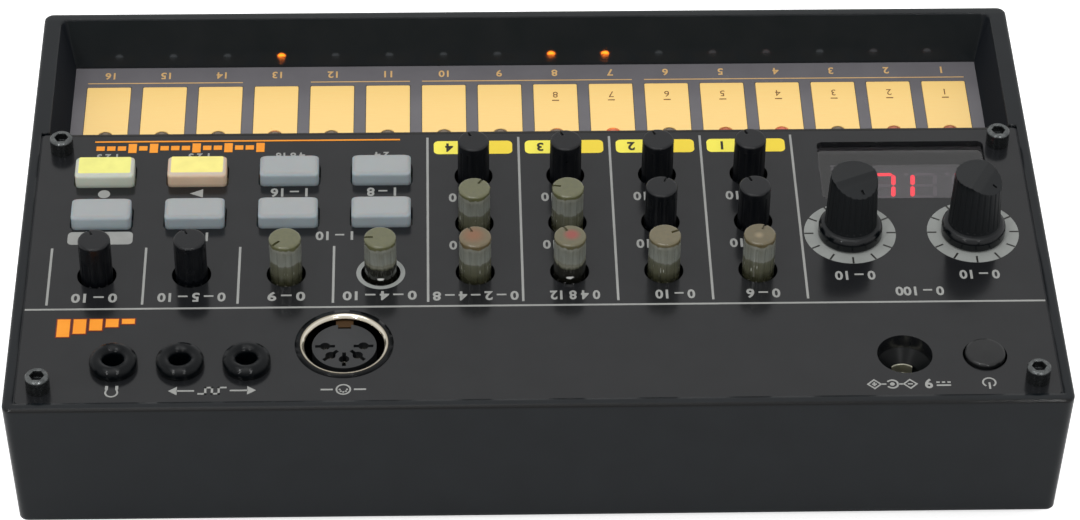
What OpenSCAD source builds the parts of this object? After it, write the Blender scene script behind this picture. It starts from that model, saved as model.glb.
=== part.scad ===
// Compact battery drum machine: a black case with a sunk touch strip at the
// front, a control panel with knobs and buttons, and sockets along its back.
// Frame: +Z up, +Y to the back (sockets), +X to the player's right, origin on
// the surface that it stands on, under the middle of the case.

/* [Case] */
// Width of the case over its rim
body_w = 193; // [191:0.5:200]
// Depth of the case over its rim
body_d = 115; // [113:0.5:122]
// Plan radius of the case corners
corner_r = 1.8; // [1.4:0.1:3.5]
// Radius of the upper outside edge
edge_r = 0.5; // [0.3:0.1:1.2]
// Width of the raised rim round the panel
rim_w = 1.9; // [1.6:0.1:2.4]
// Inward draft of each outside wall at its foot
draft = 1; // [0.4:0.1:1.6]
// Thickness of the case walls
wall_t = 2.2; // [1.8:0.1:2.6]
// Width of the ledge that carries the panel
ledge_w = 3; // [2:0.1:3.6]
// Thickness of the ledge that carries the panel
ledge_t = 1.5; // [1:0.1:2.5]
// Height of the rubber feet below the base
foot_h = 1.8; // [1.2:0.1:4]
// Radius of a rubber foot
foot_r = 4; // [3:0.1:4.4]

/* [Touch strip] */
// Depth of the touch surface below the rim
touch_depth = 10.2; // [9:0.1:12]
// How far the front wall of the recess leans in
recess_front_run = 3; // [1.5:0.1:4]
// How much wider the rim is beside the recess than beside the panel
recess_ledge = 1.5; // [0.5:0.1:2]
// How far each side wall of the recess leans in
recess_side_run = 2.5; // [1.5:0.1:3.4]
// Radius of the recess's front corners at the rim
recess_corner_r = 2; // [0.5:0.1:3]
// How far the wall under the panel leans forward
riser_run = 2.1; // [1:0.1:3]
// How far the panel overhangs the wall below it
panel_overhang = 0.6; // [0.2:0.1:1]
// Thickness of the recess walls
tray_t = 1.8; // [1.4:0.1:2]
// Number of touch pads
pad_count = 16; // [8:1:16]
// Gap between the recess's side walls and the outermost pads
pad_side_gap = 2.6; // [2:0.1:6]
// Width of a touch pad
pad_w = 8.7; // [7:0.1:10]
// Gap between the recess's front wall and the pads
pad_front_gap = 6.15; // [5:0.05:7]
// Gap between the pads and the wall under the panel
pad_rear_gap = 6.65; // [5:0.05:8]
// Distance from the back end of a pad to its step light
led_rear = 3.15; // [2.5:0.05:5]
// Radius of a step light
led_r = 1.4; // [0.8:0.1:1.8]
// Thickness of the grey overlay round the pads
overlay_t = 0.8; // [0.6:0.1:1.2]
// Clearance round each pad and step light
pad_gap = 0.1; // [0.05:0.05:0.2]

/* [Boards] */
// Thickness of the circuit boards
board_t = 1.6; // [1:0.1:2]
// Gap between the two circuit boards
board_split = 0.6; // [0.4:0.1:1]
// Gap between the battery bay and the boards
board_gap = 0.3; // [0.2:0.1:1]

/* [Panel] */
// Depth of the control panel, front to back
panel_d = 75.2; // [74:0.1:76]
// Thickness of the control panel
panel_t = 3; // [2.8:0.1:3.4]
// How far the panel lies below the rim
panel_sink = 0.35; // [0.1:0.05:0.8]
// Gap round the panel
panel_gap = 0.3; // [0.2:0.05:0.5]
// Distance of the panel screws from the side edges
screw_side = 4; // [3.8:0.1:4.4]
// Distance of the back panel screws from the back edge
screw_back = 4; // [3.6:0.1:5]
// Distance of the front panel screws from the front edge
screw_front = 4.5; // [4:0.1:5.5]
// Radius of a panel screw's head
screw_head_r = 2.2; // [1.9:0.1:2.5]
// Height of a panel screw's head
screw_head_h = 3.2; // [2:0.1:3.6]
// Width across the flats of the hexagon socket
socket_flats = 2.4; // [1.5:0.1:2.6]
// Radius of a panel screw's shank
screw_r = 1.25; // [1:0.05:1.4]
// Radius of a screw post inside the case
post_r = 2.6; // [2.3:0.1:2.7]

/* [Small knobs] */
// Distance from the panel's right edge to the first column's edge
col_margin = 4; // [3:0.1:5]
// Distance from the panel's back edge to the back row
row_back = 34.35; // [33.8:0.05:35]
// Spacing of the knob rows
row_pitch = 13.8; // [13:0.05:14]
// Radius of a small knob
knob_r = 3; // [2.6:0.05:3.2]
// Height of a small knob above the panel
knob_h = 8.9; // [7:0.1:11]
// Rounding of a small knob's top edge
knob_edge = 0.4; // [0.2:0.05:0.6]
// Number of flutes round a small knob
knob_flutes = 12; // [6:1:18]
// Radius of the hole that a small knob stands in
knob_hole_r = 3.65; // [3.4:0.05:4]
// Radius of a small knob's spindle
spindle_r = 1.5; // [1.2:0.05:1.8]
// Running clearance of spindles and shafts
run_gap = 0.05; // [0.03:0.01:0.08]
// Angle that a knob turns through
knob_sweep = 310; // [270:5:320]
// Settings of volume, part level, tempo and sample speed
left_set = [1, 1, 0.65, 0.79]; // [0:0.01:1]
// Settings of the hat knobs, front to back
hat_set = [1, 0.03, 1]; // [0:0.01:1]
// Settings of the tom knobs, front to back
tom_set = [1, 0.82, 1]; // [0:0.01:1]
// Settings of the snare knobs, front to back
snare_set = [1, 0, 0.13]; // [0:0.01:1]
// Settings of the kick knobs, front to back
kick_set = [1, 1, 0]; // [0:0.01:1]

/* [Dials] */
// Width of the dials' and display's area, left of the knob columns
dial_zone = 44; // [43:0.25:47]
// Distance from the panel's left edge to the first dial
dial_margin = 11.5; // [11:0.1:12]
// Spacing of the two dials
dial_pitch = 23.25; // [22:0.05:24]
// Distance from the panel's back edge to the dials
dial_back = 44.4; // [43:0.1:45]
// Height of a dial knob above the panel
dial_h = 14.25; // [12:0.05:16]
// Radius of a dial knob's skirt
dial_skirt_r = 6.05; // [5.6:0.05:6.5]
// Height of a dial knob's skirt
dial_skirt_h = 2.6; // [2:0.1:3.5]
// Radius of a dial knob just above its skirt
dial_base_r = 4.9; // [4.6:0.1:5.2]
// Radius of a dial knob at its top
dial_top_r = 4.4; // [4.1:0.1:4.5]
// Gap between a dial knob and the panel
dial_gap = 0.4; // [0.3:0.05:0.8]
// Slope of the facet that points
facet_slope = 28; // [15:1:35]
// Radius of a dial's shaft
shaft_r = 3; // [2.5:0.1:3.1]
// Setting of the depth dial and of the time dial
dial_set = [0.42, 0.3]; // [0:0.01:1]

/* [Buttons] */
// Distance from the panel's back edge to the back buttons
button_back = 50.45; // [50:0.05:51]
// Spacing of the two button rows
button_pitch = 12.2; // [11.5:0.05:12.5]
// Width of a button
button_w = 11.2; // [10:0.1:12]
// Depth of a button, front to back
button_d = 5.9; // [5:0.1:6.5]
// Height of a button above the panel
button_h = 2.8; // [2:0.1:3.5]
// Corner radius of a button
button_r = 0.9; // [0.5:0.1:1.2]
// Gap round a button
button_gap = 0.3; // [0.2:0.05:0.4]
// Width of the flange that keeps a button in
flange_w = 0.8; // [0.5:0.1:1]
// Thickness of the flange that keeps a button in
flange_t = 0.8; // [0.5:0.1:1.2]
// Travel of a button
button_travel = 0.7; // [0.4:0.05:0.8]

/* [Display] */
// Width of the display opening
display_w = 32.25; // [30:0.05:32.5]
// Depth of the display opening, front to back
display_d = 16.8; // [16:0.1:17.4]
// Distance from the panel's left edge to the opening
display_margin = 6.85; // [6.8:0.05:8]
// Distance from the panel's front edge to the opening
display_front = 4; // [3.5:0.1:4.4]
// Depth of the window below the panel's face
window_depth = 2; // [1.4:0.1:2.2]
// Clearance round the window
window_gap = 0.1; // [0.05:0.05:0.2]

/* [Sockets] */
// Distance from the panel's right edge to the headphone socket
jack_margin = 17.25; // [16:0.05:18]
// Spacing of the three small sockets
jack_pitch = 12.05; // [11.5:0.05:12.5]
// Distance from the panel's back edge to the small sockets
jack_back = 9.85; // [9.2:0.05:10.4]
// Radius of a small socket's nut
nut_r = 4.4; // [4:0.1:4.8]
// Height of a small socket's nut
nut_h = 2.2; // [1.6:0.1:2.6]
// Radius of a small socket's bore
jack_bore_r = 1.8; // [1.76:0.01:1.9]
// Radius of a small socket's neck
neck_r = 2.95; // [2.7:0.05:3.1]
// Distance from the last small socket to the round socket
din_pitch = 17.6; // [16:0.05:19]
// Distance from the panel's back edge to the round socket
din_back = 15; // [14:0.05:16]
// Radius of the black ring round the round socket
din_boss_r = 9.05; // [8.8:0.05:9.4]
// Outside radius of the round socket's metal shell
din_shell_r = 7.95; // [7.8:0.05:8.1]
// Wall of the round socket's metal shell
din_shell_t = 0.6; // [0.4:0.1:0.8]
// Radius of the round socket's insert
din_insert_r = 5.9; // [5.6:0.05:6]
// Radius of the circle that the contacts lie on
din_pin_circle = 3.5; // [3.4:0.05:3.6]
// Distance from the panel's left edge to the power inlet
inlet_margin = 27.5; // [26.5:0.1:28]
// Distance from the panel's back edge to the power inlet
inlet_back = 10.85; // [10:0.05:11.4]
// Radius of the power inlet's mouth
inlet_r = 5.05; // [4.6:0.05:5.4]
// Radius of the power inlet's barrel
barrel_r = 2.9; // [2.8:0.05:3.1]
// Radius of the power inlet's pin
inlet_pin_r = 0.85; // [0.6:0.05:1]
// Distance from the panel's left edge to the power button
power_margin = 12.9; // [12.4:0.1:13.6]
// Distance from the panel's back edge to the power button
power_back = 10.4; // [10:0.05:11.4]
// Radius of the power button
power_r = 3.7; // [3.2:0.05:4]
// Gap round the power button
power_gap = 0.35; // [0.2:0.05:0.4]
// Height of the power button above the panel
power_h = 0.9; // [0.4:0.1:2]
// Travel of the power button
power_travel = 1.5; // [1:0.1:2]

/* [Battery bay] */
// Distance from the case's sides to the battery bay, which holds three cells in a row
bay_side = 18.5; // [18:0.1:19.5]
// Depth of the battery bay, for two rows of cells
bay_d = 31; // [30:0.5:32]
// Clear height of the battery bay
cell_room = 14.6; // [14.5:0.1:16]
// Wall of the battery bay
bay_wall = 1.2; // [1:0.1:1.6]
// Thickness of the battery cover
cover_t = 1.45; // [1.2:0.05:2]
// Gap over the battery cover
slide_gap = 0.15; // [0.1:0.01:0.25]
// Width of the cover's ledge past the bay
cover_lap = 2; // [1.5:0.1:2.5]
// Width of the tongues along the cover
tongue_w = 1; // [0.6:0.1:1.2]

/* [Base and speaker] */
// Thickness of the base plate inside the walls
base_t = 1.6; // [1.4:0.1:2]
// Clearance between the base plate and the walls
base_gap = 0.2; // [0.1:0.05:0.3]
// Distance from the case's front edge to the speaker's centre
speaker_front = 25.5; // [24.5:0.5:28]
// Distance of the speaker's centre left of the middle
speaker_x = 40; // [20:1:60]
// Radius of the speaker
speaker_r = 17; // [14:0.5:18]
// Width of a speaker slot
slot_w = 1.6; // [1:0.1:2]
// Spacing of the speaker slots
slot_pitch = 4; // [3:0.1:5]
// Gap between the battery cover's tongues and the feet beside them
foot_clear = 1.5; // [1:0.1:2]
// Distance of the feet from the case's front and back
foot_end = 20.5; // [17.5:0.5:25]
// Distance of the base screws from the case's front and back
base_screw_end = 9; // [8.5:0.5:10.5]

/* [Hidden] */
$fn = 32;
// Overlap that keeps cuts and joined shapes clean
eps = 0.01;

// Heights, from the floor up
base_drop = cover_t + slide_gap;
wall_bot = foot_h + base_drop;
bay_top = wall_bot + cell_room;
bay_roof = bay_top + bay_wall;
board_bot = bay_roof + board_gap;
board_top = board_bot + board_t;
touch_z = board_top + overlay_t;
rim_z = touch_z + touch_depth;
panel_top = rim_z - panel_sink;
panel_bot = panel_top - panel_t;
base_top = wall_bot + base_t;

// Inside of the rim, and the panel's edges
rim_x = body_w / 2 - rim_w;
rim_y = body_d / 2 - rim_w;
panel_x = rim_x - panel_gap;
panel_rear = rim_y - panel_gap;
panel_front = panel_rear - panel_d;

// The wall under the panel's front edge, and the floor of the recess
riser_y = panel_front + panel_overhang;
floor_rear = riser_y - riser_run;
floor_front = -rim_y + recess_front_run;
floor_x = rim_x - recess_ledge - recess_side_run;
strip_rear = floor_rear + tray_t - base_gap;
strip_front = floor_front - tray_t + base_gap;
strip_x = floor_x + tray_t - base_gap;
board_front = strip_rear + board_split;
board_x = rim_x - ledge_w;
board_rear = rim_y - ledge_w + 1;

// Touch pads
pad_y = floor_front + pad_front_gap;
pad_l = floor_rear - pad_rear_gap - pad_y;
led_y = pad_y + pad_l - led_rear;
pad_pitch = (2 * floor_x - 2 * pad_side_gap - pad_w) / (pad_count - 1);

// Battery bay
bay_rear_gap = 2.1;
bay_l = body_w - 2 * bay_side;
bay_y = body_d / 2 - draft - wall_t - bay_rear_gap - bay_wall - bay_d / 2;
lane_x = bay_l / 2 + cover_lap;
lane_y = bay_y - bay_d / 2 - cover_lap;

// Places on the base
foot_x = lane_x + tongue_w + foot_clear + foot_r;
feet_xy = [for (sx = [-1, 1], sy = [-1, 1]) [sx * foot_x, sy * (body_d / 2 - foot_end)]];
base_screws_xy = [for (sx = [-1, 1], sy = [-1, 1])
    [sx * foot_x, sy * (body_d / 2 - base_screw_end)]];
speaker_xy = [-speaker_x, speaker_front - body_d / 2];

// Places on the panel: eight columns of knobs between the margin and the dials
columns = 8;
col_pitch = (2 * panel_x - col_margin - dial_zone) / columns;
screws_xy = [for (sx = [-1, 1], sy = [0, 1])
    [sx * (panel_x - screw_side), sy == 1 ? panel_rear - screw_back : panel_front + screw_front]];
function col_x(i) = panel_x - col_margin - (i + 0.5) * col_pitch;
function row_y(k) = panel_rear - row_back - k * row_pitch;
function button_y(k) = panel_rear - button_back - k * button_pitch;
knobs_xy = concat([for (i = [0:3]) [col_x(i), row_y(0)]],
    [for (i = [4:7], k = [0:2]) [col_x(i), row_y(k)]]);
lamps_xy = [knobs_xy[2], knobs_xy[3], knobs_xy[4], knobs_xy[5], knobs_xy[7], knobs_xy[8],
    knobs_xy[10], knobs_xy[13]];
buttons_xy = [for (k = [0, 1], i = [0:3]) [col_x(i), button_y(k)]];
dials_xy = [[-panel_x + dial_margin + dial_pitch, panel_rear - dial_back],
    [-panel_x + dial_margin, panel_rear - dial_back]];
display_xy = [-panel_x + display_margin + display_w / 2, panel_front + display_front + display_d / 2];
jacks_xy = [for (i = [0:2]) [panel_x - jack_margin - i * jack_pitch, panel_rear - jack_back]];
din_xy = [jacks_xy[2][0] - din_pitch, panel_rear - din_back];
inlet_xy = [-panel_x + inlet_margin, panel_rear - inlet_back];
power_xy = [-panel_x + power_margin, panel_rear - power_back];

// Potentiometers and switches on the main board
pot_w = 9.6;
pot_h = 4.2;
pot_gap = 0.3;
pot_top = board_top + pot_h;
knob_bot = pot_top + pot_gap;
spindle_l = 3;
dial_pot_w = 12;
dial_pot_gap = 1.5;
dial_pot_top = panel_bot - dial_pot_gap;
bush_wall = 0.5;
bush_sink = 0.3;
bush_r = shaft_r + bush_wall;
bush_gap = 0.15;
shaft_flat = 0.5 * shaft_r;
shaft_floor = 1;
shaft_grip = 8;
facet_start = 0.3;
notch_w = 0.5;
notch_l = 0.9;
notch_inset = 1.45;
flat_low = 1;
key_w = 6;
key_h = 3.6;
key_stem_r = 1.6;
key_stem_h = 0.8;
key_top = board_top + key_h;
key_play = 0.1;
power_body_w = 8.4;
power_body_gap = 2.4;
power_body_top = panel_bot - power_body_gap;
power_stem_r = 2;

// The small sockets
jack_w = 9;
jack_d = 10;
jack_bore_l = 12;
nut_edge = 1.2;
bore_edge = 1.2;

// The round socket
din_boss_h = 0.5;
din_ring_h = 0.9;
din_lip = 0.35;
din_flare_h = 1.6;
din_sink = 0.1;
din_base_t = 1.6;
din_brim = 0.55;
din_face = panel_top - din_sink;
din_floor = board_top + din_base_t;
din_sleeve_r = din_boss_r - din_brim;
din_slot_depth = 7;
din_slot_r = 0.95;
din_pin_r = 0.9;
din_pin_l = 6;
din_pin_bore_r = 0.6;
din_slot_l = 3.6;
din_slot_w = 0.7;
din_key_w = 2.4;
din_key_d = 1.2;
din_key_h = 6;

// The power inlet
inlet_w = 13;
inlet_funnel = 2;
inlet_base_t = 0.6;
inlet_floor = board_top + inlet_base_t;
inlet_pin_l = 4.6;
inlet_tip_l = 0.5;
leaf_t = 0.25;
leaf_l = 5;
leaf_w = 3.8;
leaf_d = 1.2;

// The speaker
speaker_wall = 1.5;
speaker_gap = 0.2;
speaker_seat_h = 3;
frame_w = 2.5;
frame_t = 1.2;
basket_h = 5;
magnet_h = 4;
cone_t = 0.5;

// Small parts
thread_gap = 0.05;
screw_edge = 0.3;
socket_depth = 1.6;
contact_w = 10;
contact_t = 0.4;
contact_gap = 2;
circuits = [[-30, 9], [4, 12], [38, 7]];
circuit_h = 1.4;
grip_w = 18;
grip_pitch = 1.8;
grip_depth = 0.4;
lamp_w = 1.6;
lamp_d = 0.8;
lamp_h = 0.6;
lamp_gap = 0.25;
link_w = 20;
link_d = 8;
link_h = 2.5;
base_screw_r = 1.3;
base_head_r = 2.4;
base_head_h = 1.4;
base_head_gap = 0.2;
foot_seat = 0.6;
foot_gap = 0.1;

case_black = [0.1, 0.105, 0.11];
panel_grey = [0.24, 0.24, 0.245];
metal = [0.75, 0.75, 0.76];

// ---------- shared shapes ----------

// Outside half-size of the case wall at a height, from its half-size at the rim
function wall_at(half, z) = half - draft * (rim_z - z) / (rim_z - wall_bot);

// Places its children at a point of the plan, at a height
module at(p, z = 0) {
    translate([p[0], p[1], z]) children();
}

// A rectangle with round corners, centred
module round_rect(w, d, r) {
    square([w - 2 * r, d], center = true);
    square([w, d - 2 * r], center = true);
    for (sx = [-1, 1], sy = [-1, 1])
        translate([sx * (w / 2 - r), sy * (d / 2 - r)]) circle(r);
}

// A plate between two heights, with round corners
module plate(x0, x1, y0, y1, z0, z1, r = 1) {
    translate([(x0 + x1) / 2, (y0 + y1) / 2, z0])
        linear_extrude(z1 - z0) round_rect(x1 - x0, y1 - y0, r);
}

// A box between two heights, centred on a point of the plan
module block(p, w, d, z0, z1) {
    translate([p[0] - w / 2, p[1] - d / 2, z0]) cube([w, d, z1 - z0]);
}

// A box that tapers from one rectangle to another: [x half, y front, y back, z]
module taper_box(low, high) {
    hull() {
        translate([-low[0], low[1], low[3]]) cube([2 * low[0], low[2] - low[1], eps]);
        translate([-high[0], high[1], high[3] - eps])
            cube([2 * high[0], high[2] - high[1], eps]);
    }
}

// ---------- case ----------

module case_block() {
    hull() for (sx = [-1, 1], sy = [-1, 1]) {
        translate([sx * (body_w / 2 - draft - corner_r), sy * (body_d / 2 - draft - corner_r),
            wall_bot]) cylinder(r = corner_r, h = eps);
        for (a = [0:30:90])
            translate([sx * (body_w / 2 - corner_r), sy * (body_d / 2 - corner_r),
                rim_z - edge_r * (1 - sin(a)) - eps])
                cylinder(r = corner_r - edge_r * (1 - cos(a)), h = eps);
    }
}

// The recess, grown outward by g for the outside of its walls
module recess(g) {
    rise = panel_sink + panel_t;
    back_slope = riser_run / (touch_depth - rise);
    top_x = rim_x - recess_ledge + g;
    hull() {
        translate([-floor_x - g, floor_front - g, touch_z])
            cube([2 * (floor_x + g), floor_rear - floor_front + 2 * g, eps]);
        for (sx = [-1, 1]) {
            translate([sx * (top_x - recess_corner_r), -rim_y - g + recess_corner_r, rim_z])
                cylinder(r = recess_corner_r, h = eps);
            translate([sx * (top_x - eps / 2), riser_y + back_slope * rise + g - eps / 2, rim_z])
                cylinder(r = eps / 2, h = eps, $fn = 8);
        }
    }
}

// Hollow inside of the case, under the ledge
module case_hollow() {
    low = wall_bot - 1;
    high = panel_bot - ledge_t;
    taper_box([wall_at(body_w / 2, low) - wall_t, -wall_at(body_d / 2, low) + wall_t,
        wall_at(body_d / 2, low) - wall_t, low],
        [wall_at(body_w / 2, high) - wall_t, -wall_at(body_d / 2, high) + wall_t,
        wall_at(body_d / 2, high) - wall_t, high]);
}

// A screw post with a web out to the side wall
module post(p, z0, z1) {
    side = p[0] > 0 ? 1 : -1;
    at(p, z0) cylinder(r = post_r, h = z1 - z0);
    wall_x = wall_at(body_w / 2, z0) - wall_t / 2;
    translate([side > 0 ? p[0] : -wall_x, p[1] - 0.8, z0])
        cube([wall_x - abs(p[0]), 1.6, z1 - z0]);
}

module case_shell() {
    color(case_black) difference() {
        case_block();
        difference() {
            case_hollow();
            recess(tray_t);
            for (p = screws_xy) post(p, board_top, panel_bot);
            for (p = base_screws_xy) post(p, base_top, board_bot);
        }
        recess(0);
        translate([-floor_x, floor_front, touch_z - 2])
            cube([2 * floor_x, floor_rear - floor_front, 2 + eps]);
        translate([-rim_x, panel_front - panel_gap, panel_bot])
            cube([2 * rim_x, rim_y - panel_front + panel_gap, panel_sink + panel_t + 1]);
        // Space under the panel, inside the ledge and behind the riser
        difference() {
            translate([-rim_x + ledge_w, riser_y + tray_t, panel_bot - ledge_t - 1])
                cube([2 * (rim_x - ledge_w), rim_y - ledge_w - riser_y - tray_t, ledge_t + 1 + eps]);
            for (p = screws_xy) at(p, board_top) cylinder(r = post_r, h = panel_bot - board_top + 1);
        }
        for (p = screws_xy) at(p, board_top - eps)
            cylinder(r = screw_r + thread_gap, h = panel_bot - board_top + 1);
        for (p = base_screws_xy) at(p, wall_bot)
            cylinder(r = base_screw_r + thread_gap, h = board_bot - wall_bot - 2);
    }
}

// ---------- base ----------

module base_plate() {
    bx = wall_at(body_w / 2, wall_bot) - wall_t - base_gap;
    by = wall_at(body_d / 2, wall_bot) - wall_t - base_gap;
    step = 1.2;
    slots = floor((speaker_r - frame_w - slot_w / 2) / slot_pitch);
    color(case_black) difference() {
        union() {
            plate(-bx, bx, -by, by, wall_bot - eps, base_top);
            plate(-bx + step, bx - step, -by + step, by - step, foot_h, wall_bot, 2);
            // Walls and roof of the battery bay
            plate(-bay_l / 2 - bay_wall, bay_l / 2 + bay_wall, bay_y - bay_d / 2 - bay_wall,
                bay_y + bay_d / 2 + bay_wall, wall_bot, bay_roof);
            at(speaker_xy, base_top - eps)
                cylinder(r = speaker_r + speaker_wall, h = speaker_seat_h, $fn = 64);
        }
        // Inside of the battery bay
        block([0, bay_y], bay_l, bay_d, foot_h - 1, bay_top);
        // Lane of the battery cover, open to the back, and its two grooves
        translate([-lane_x, lane_y, foot_h - 1])
            cube([2 * lane_x, body_d, base_drop + 1]);
        translate([-lane_x - tongue_w - slide_gap, lane_y, foot_h + cover_t / 3])
            cube([2 * (lane_x + tongue_w + slide_gap), body_d, base_drop - cover_t / 3]);
        // Speaker seat and its slots
        at(speaker_xy, base_top)
            cylinder(r = speaker_r + speaker_gap, h = speaker_seat_h + 1, $fn = 64);
        for (i = [-slots:slots])
            at([speaker_xy[0], speaker_xy[1] + i * slot_pitch], foot_h - 1)
                linear_extrude(base_top) round_rect(2 * sqrt(pow(speaker_r - frame_w / 2, 2)
                    - pow(i * slot_pitch, 2)), slot_w, slot_w / 2 - eps);
        for (p = feet_xy) at(p, foot_h - 1) cylinder(r = foot_r + foot_gap, h = 1 + foot_seat);
        for (p = base_screws_xy) {
            at(p, foot_h - 1) cylinder(r = base_screw_r + thread_gap, h = base_top);
            at(p, foot_h - 1) cylinder(r = base_head_r + base_head_gap, h = 1 + base_head_h);
        }
    }
}

module battery_cover() {
    rear = wall_at(body_d / 2, wall_bot) - wall_t - base_gap - 1.2;
    play = 0.2;
    color(case_black) difference() {
        union() {
            translate([-lane_x + play, lane_y + play, foot_h])
                cube([2 * (lane_x - play), rear - lane_y - play, cover_t]);
            translate([-lane_x - tongue_w, lane_y + play, foot_h + cover_t / 3 + slide_gap])
                cube([2 * (lane_x + tongue_w), rear - lane_y - play - 4,
                    cover_t * 2 / 3 - slide_gap]);
        }
        // Grip grooves across the middle of the back edge
        for (i = [0:4])
            translate([-grip_w / 2, rear - 5 - i * grip_pitch, foot_h - 1])
                cube([grip_w, grip_pitch / 2, 1 + grip_depth]);
    }
}

module battery_contacts() {
    color(metal) for (sx = [-1, 1], sy = [-1, 1]) {
        p = [sx * (bay_l - contact_t) / 2, bay_y + sy * bay_d / 4];
        block(p, contact_t, contact_w, wall_bot + contact_gap, bay_top - contact_gap);
        translate([p[0] - sx * 0.1, p[1], (wall_bot + bay_top) / 2]) rotate([0, -sx * 90, 0])
            cylinder(r1 = sx * sy > 0 ? 3.6 : 2.4, r2 = sx * sy > 0 ? 2.2 : 1.8, h = 1.5);
    }
}

module rubber_feet() {
    color([0.08, 0.08, 0.08]) for (p = feet_xy) at(p) {
        cylinder(r1 = foot_r - 0.5, r2 = foot_r, h = 0.5);
        translate([0, 0, 0.5 - eps]) cylinder(r = foot_r, h = foot_h + foot_seat - 0.5 + eps);
    }
}

module base_screws() {
    color(metal) for (p = base_screws_xy) difference() {
        union() {
            at(p, foot_h + 0.1) cylinder(r = base_head_r, h = base_head_h - 0.1);
            at(p, foot_h + base_head_h - eps) cylinder(r = base_screw_r, h = base_top + 3);
        }
        block(p, 3, 0.6, foot_h, foot_h + 0.7);
        block(p, 0.6, 3, foot_h, foot_h + 0.7);
    }
}

module speaker() {
    inner = speaker_r - frame_w;
    magnet_r = speaker_r * 0.55;
    magnet_top = basket_h + magnet_h;
    cone_r = inner - speaker_gap;
    neck = speaker_r * 0.42;
    cone_top = basket_h + cone_t;
    at(speaker_xy, base_top) {
        // Basket and magnet
        color([0.2, 0.2, 0.2]) rotate_extrude($fn = 64) polygon([[inner, 0], [speaker_r, 0],
            [speaker_r, frame_t], [speaker_r - frame_w * 0.8, frame_t], [speaker_r * 0.62, basket_h],
            [magnet_r, basket_h], [magnet_r, magnet_top], [0, magnet_top], [0, cone_top + cone_t / 4],
            [speaker_r * 0.45, cone_top + cone_t / 4], [inner, frame_t - cone_t / 2]]);
        // Cone
        color([0.12, 0.12, 0.13]) rotate_extrude($fn = 64) polygon([[cone_r, 0], [cone_r, cone_t],
            [neck, cone_top - cone_t / 2], [0, cone_top], [0, basket_h], [neck, basket_h - cone_t],
            [cone_r - cone_t, 0]]);
    }
}

// ---------- touch strip ----------

module pad_row() {
    for (i = [0:pad_count - 1]) translate([(i - (pad_count - 1) / 2) * pad_pitch, 0, 0]) children();
}

module touch_overlay() {
    color([0.43, 0.43, 0.44]) difference() {
        plate(-strip_x, strip_x, strip_front, strip_rear, board_top, touch_z);
        pad_row() translate([-pad_w / 2 - pad_gap, pad_y - pad_gap, board_top - 1])
            cube([pad_w + 2 * pad_gap, pad_l + 2 * pad_gap, overlay_t + 2]);
    }
}

module touch_pads() {
    color([0.95, 0.8, 0.5]) pad_row() difference() {
        plate(-pad_w / 2, pad_w / 2, pad_y, pad_y + pad_l, board_top, touch_z, 0.3);
        at([0, led_y], board_top - 1) cylinder(r = led_r + pad_gap, h = overlay_t + 2);
    }
}

module step_lights() {
    color([0.7, 0.2, 0.12]) pad_row() at([0, led_y], board_top) {
        cylinder(r = led_r, h = overlay_t - 0.1);
        translate([0, 0, overlay_t - 0.1 - eps]) cylinder(r1 = led_r, r2 = led_r - 0.2, h = 0.2);
    }
}

module touch_board() {
    color([0.1, 0.28, 0.16]) plate(-strip_x, strip_x, strip_front, strip_rear, board_bot, board_top);
}

// ---------- boards and electronics ----------

module main_board() {
    color([0.1, 0.28, 0.16])
        plate(-board_x, board_x, board_front, board_rear, board_bot, board_top);
    // Circuits on the underside, in front of the battery bay
    color([0.1, 0.1, 0.1]) for (c = circuits)
        block([c[0], (board_front + lane_y) / 2], c[1], c[1], board_bot - circuit_h,
            board_bot + eps);
}

module board_link() {
    color([0.15, 0.15, 0.15])
        block([rim_x * 0.7, (strip_rear + board_front) / 2], link_w, link_d, board_bot - link_h,
            board_bot);
}

module knob_pots() {
    color([0.12, 0.12, 0.13]) for (p = knobs_xy) difference() {
        block(p, pot_w, pot_w, board_top, pot_top);
        at(p, pot_top - spindle_l) cylinder(r = spindle_r + run_gap, h = spindle_l + 1);
    }
}

module knob_lamps() {
    // Behind each knob, clear of it as it turns
    color([0.95, 0.95, 0.9]) for (p = lamps_xy)
        block([p[0], p[1] + knob_r + lamp_gap + lamp_d / 2], lamp_w, lamp_d, pot_top,
            pot_top + lamp_h);
}

module dial_pots() {
    color([0.2, 0.2, 0.2]) for (p = dials_xy) difference() {
        union() {
            block(p, dial_pot_w, dial_pot_w, board_top, dial_pot_top);
            at(p, dial_pot_top - eps)
                cylinder(r = bush_r, h = panel_top - bush_sink - dial_pot_top);
        }
        at(p, board_top + shaft_floor) cylinder(r = shaft_r + run_gap, h = panel_top - board_top);
    }
}

// A dial's shaft: round in its bush, with a flat where the knob grips it
module dial_shaft(p) {
    color(metal) difference() {
        at(p, board_top + shaft_floor + run_gap)
            cylinder(r = shaft_r, h = panel_top - board_top + shaft_grip);
        at(p, panel_top + flat_low) translate([-shaft_r - 1, shaft_flat, 0])
            cube([2 * shaft_r + 2, shaft_r, 2 * shaft_grip]);
    }
}

module key_switches() {
    color([0.15, 0.15, 0.15]) for (p = buttons_xy) {
        block(p, key_w, key_w, board_top, key_top);
        at(p, key_top - eps) cylinder(r = key_stem_r, h = key_stem_h);
    }
}

// ---------- control panel ----------

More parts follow.
